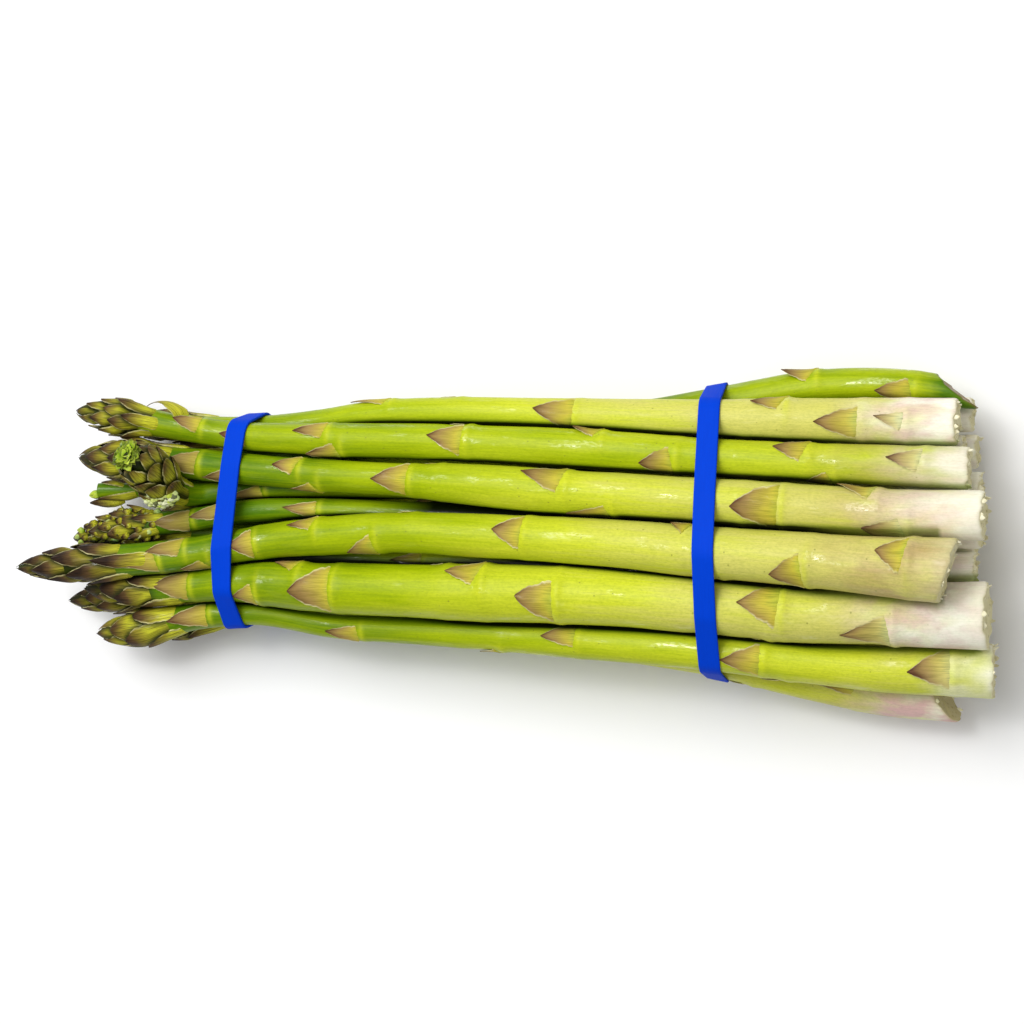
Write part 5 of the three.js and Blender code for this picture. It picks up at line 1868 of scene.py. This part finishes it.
        # painted shade: darker the more closely other spears hem a place in, to near black in the deepest
        # gaps
        near = s.value("near")
        painted_gap_shade = s.ramp(near, (0.0, self.white), (0.5, self.shaded), (0.88, self.buried_in_shade))
        colour = s.blend(1.0, colour, painted_gap_shade, "MULTIPLY")
        # painted shade under scales, in creases and in the head's core, by the "dark" values
        colour = s.blend(s.value("dark") * 0.94, colour, self.crevice_shade)

        # fine relief, and a wet gloss in drops
        rough = 0.30 + patch * 0.14 + blade * 0.22 + pale * 0.1
        height = streak * 0.5 + fine * (0.35 + blade * 0.9 + head * 1.2)
        drops = s.noise(s.skin(0.4, 0.4, 0.10), 3.0).step(0.54, 0.66) * grain.step(0.40, 0.58)
        wet = drops * (1 - 0.6 * blade) * (1 - pale)
        return s.surface(Base_Color=colour, Roughness=rough, Normal=s.bump(height, 0.10, 0.55),
                         Specular_IOR_Level=0.14, Coat_Weight=wet, Coat_Roughness=0.13)


@dataclass(frozen=True)
class RubberFinish:
    """Matte blue rubber with faint lines along it."""

    blue: Colour = (0.0003, 0.054, 0.64)
    deep_blue: Colour = (0.0003, 0.040, 0.50)

    def make(self) -> bpy.types.Material:
        """Makes the material.

        Returns:
            The material.
        """
        s = Shader("band_rubber")
        lines = s.noise(s.skin(0.15, 0.15, 5.0), 3.0)
        grain = s.noise(s.skin(2.0, 2.0, 2.0), 3.0)
        shade = (lines * 0.6 + grain * 0.5).clamped()
        return s.surface(Base_Color=s.blend(shade, self.deep_blue, self.blue), Roughness=0.5 + grain * 0.2,
                         Normal=s.bump(lines * 0.6 + grain * 0.5, 0.08, 0.5), Specular_IOR_Level=0.04)


@dataclass(frozen=True)
class TableFinish:
    """A plain pale tabletop."""

    pale: Colour = (0.93, 0.93, 0.93)

    def make(self) -> bpy.types.Material:
        """Makes the material."""
        s = Shader("pale_table")
        return s.surface(Base_Color=(*self.pale, 1.0), Roughness=0.9)


# ---- Studio ----


@dataclass(frozen=True)
class Softbox:
    """A square lamp that faces the bunch."""

    name: str
    place: tuple[float, float, float]  # in metres
    side: float  # in metres
    power: float  # in watts

    def build(self) -> None:
        """Hangs the lamp and turns it to the bunch's middle."""
        lamp = bpy.data.lights.new(self.name, "AREA")
        lamp.shape = "SQUARE"
        lamp.size = self.side
        lamp.energy = self.power
        made = bpy.data.objects.new(self.name, lamp)
        bpy.context.scene.collection.objects.link(made)
        made.location = self.place
        aim = np.array([0.0, 0.0, 0.02]) - np.array(self.place)
        made.rotation_euler = mathutils.Vector(aim).to_track_quat("-Z", "Y").to_euler()


@dataclass(frozen=True)
class Studio:
    """The pale table, the soft light and the camera that looks down on the bunch."""

    target: tuple[float, float, float] = (8.65, 7.81, 34.0)  # what the camera looks at, in millimetres
    tilt: float = 15.5  # of the camera, in degrees
    distance: float = 850.0  # from the camera to its target
    lens: float = 122.5
    sensor: float = 36.0
    table_half: float = 3.0  # half the table's side, in metres
    squares: int = 8  # along each of its sides
    ambient: float = 0.22  # strength of the light from all round
    lamps: tuple[Softbox, ...] = (
        Softbox("key_light", (-0.28, 0.46, 1.00), 0.95, 13.0),
        Softbox("fill_light", (0.25, -0.30, 1.05), 0.90, 2.6),
        Softbox("glint_light", (-0.16, 0.30, 1.10), 0.20, 1.7),
    )

    def build_camera(self) -> None:
        """Stands the camera off the target, leaning towards the butts by the tilt, with +Y up."""
        data = bpy.data.cameras.new("view_camera")
        data.lens = self.lens
        data.sensor_width = self.sensor
        data.clip_end = 20.0
        camera = bpy.data.objects.new("view_camera", data)
        bpy.context.scene.collection.objects.link(camera)
        t = math.radians(self.tilt)
        back = mathutils.Vector((math.sin(t), 0, math.cos(t)))
        right = mathutils.Vector((math.cos(t), 0, -math.sin(t)))
        turn = mathutils.Matrix((right, (0, 1, 0), back)).transposed().to_4x4()
        spot = (mathutils.Vector(self.target) + self.distance * back) * MM
        camera.matrix_world = mathutils.Matrix.Translation(spot) @ turn
        bpy.context.scene.camera = camera

    def build_table(self, finish: bpy.types.Material) -> None:
        """Lays the table under the bunch, as a grid of squares at z = 0.

        Args:
            finish: the table's material.
        """
        lines = self.squares + 1
        side = np.linspace(-self.table_half, self.table_half, lines)
        x, y = np.meshgrid(side, side)
        points = np.stack([x, y, np.zeros_like(x)], -1).reshape(-1, 3)
        row = np.arange(self.squares)
        corner = (row[:, None] * lines + row[None]).ravel()
        quads = np.stack([corner, corner + 1, corner + lines + 1, corner + lines], -1)
        mesh = bpy.data.meshes.new("table")
        mesh.from_pydata(points.tolist(), [], quads.tolist())
        mesh.materials.append(finish)
        table = bpy.data.objects.new("table", mesh)
        bpy.context.scene.collection.objects.link(table)

    def build_light(self) -> None:
        """Lights the scene from all round, and from the lamps."""
        world = bpy.data.worlds.new("studio")
        world.use_nodes = True
        background = world.node_tree.nodes["Background"]
        background.inputs["Color"].default_value = (1.0, 1.0, 1.0, 1.0)
        background.inputs["Strength"].default_value = self.ambient
        bpy.context.scene.world = world
        bpy.context.scene.view_settings.view_transform = "Standard"
        for lamp in self.lamps:
            lamp.build()


# ---- The bunch ----


class Bunch:
    """The settled spears and the bands round them."""

    first_seed = 4200

    def __init__(self) -> None:
        """Settles the spears."""
        stations, shifts = Settling().settle(PLANS)
        self.spears = [Spear(plan, self.first_seed + i, stations, shifts[i]) for i, plan in enumerate(PLANS)]
        self.bands = [Band(plan, self.spears) for plan in BAND_PLANS]

    def build(self) -> None:
        """Builds every piece and reports it."""
        skin, rubber, crowd = SpearFinish().make(), RubberFinish().make(), Crowd(self.spears)
        for spear in self.spears:
            made = spear.build(skin, crowd)
            log.info("%s: %d faces", made.name, len(made.data.polygons))
        for band in self.bands:
            made = band.build(rubber)
            log.info("%s: %d faces", made.name, len(made.data.polygons))


def main() -> None:
    """Builds the studio and the bunch."""
    logging.basicConfig(level=logging.INFO, format="%(name)s: %(message)s")
    studio = Studio()
    studio.build_camera()
    studio.build_table(TableFinish().make())
    studio.build_light()
    Bunch().build()


if __name__ == "__main__":
    main()
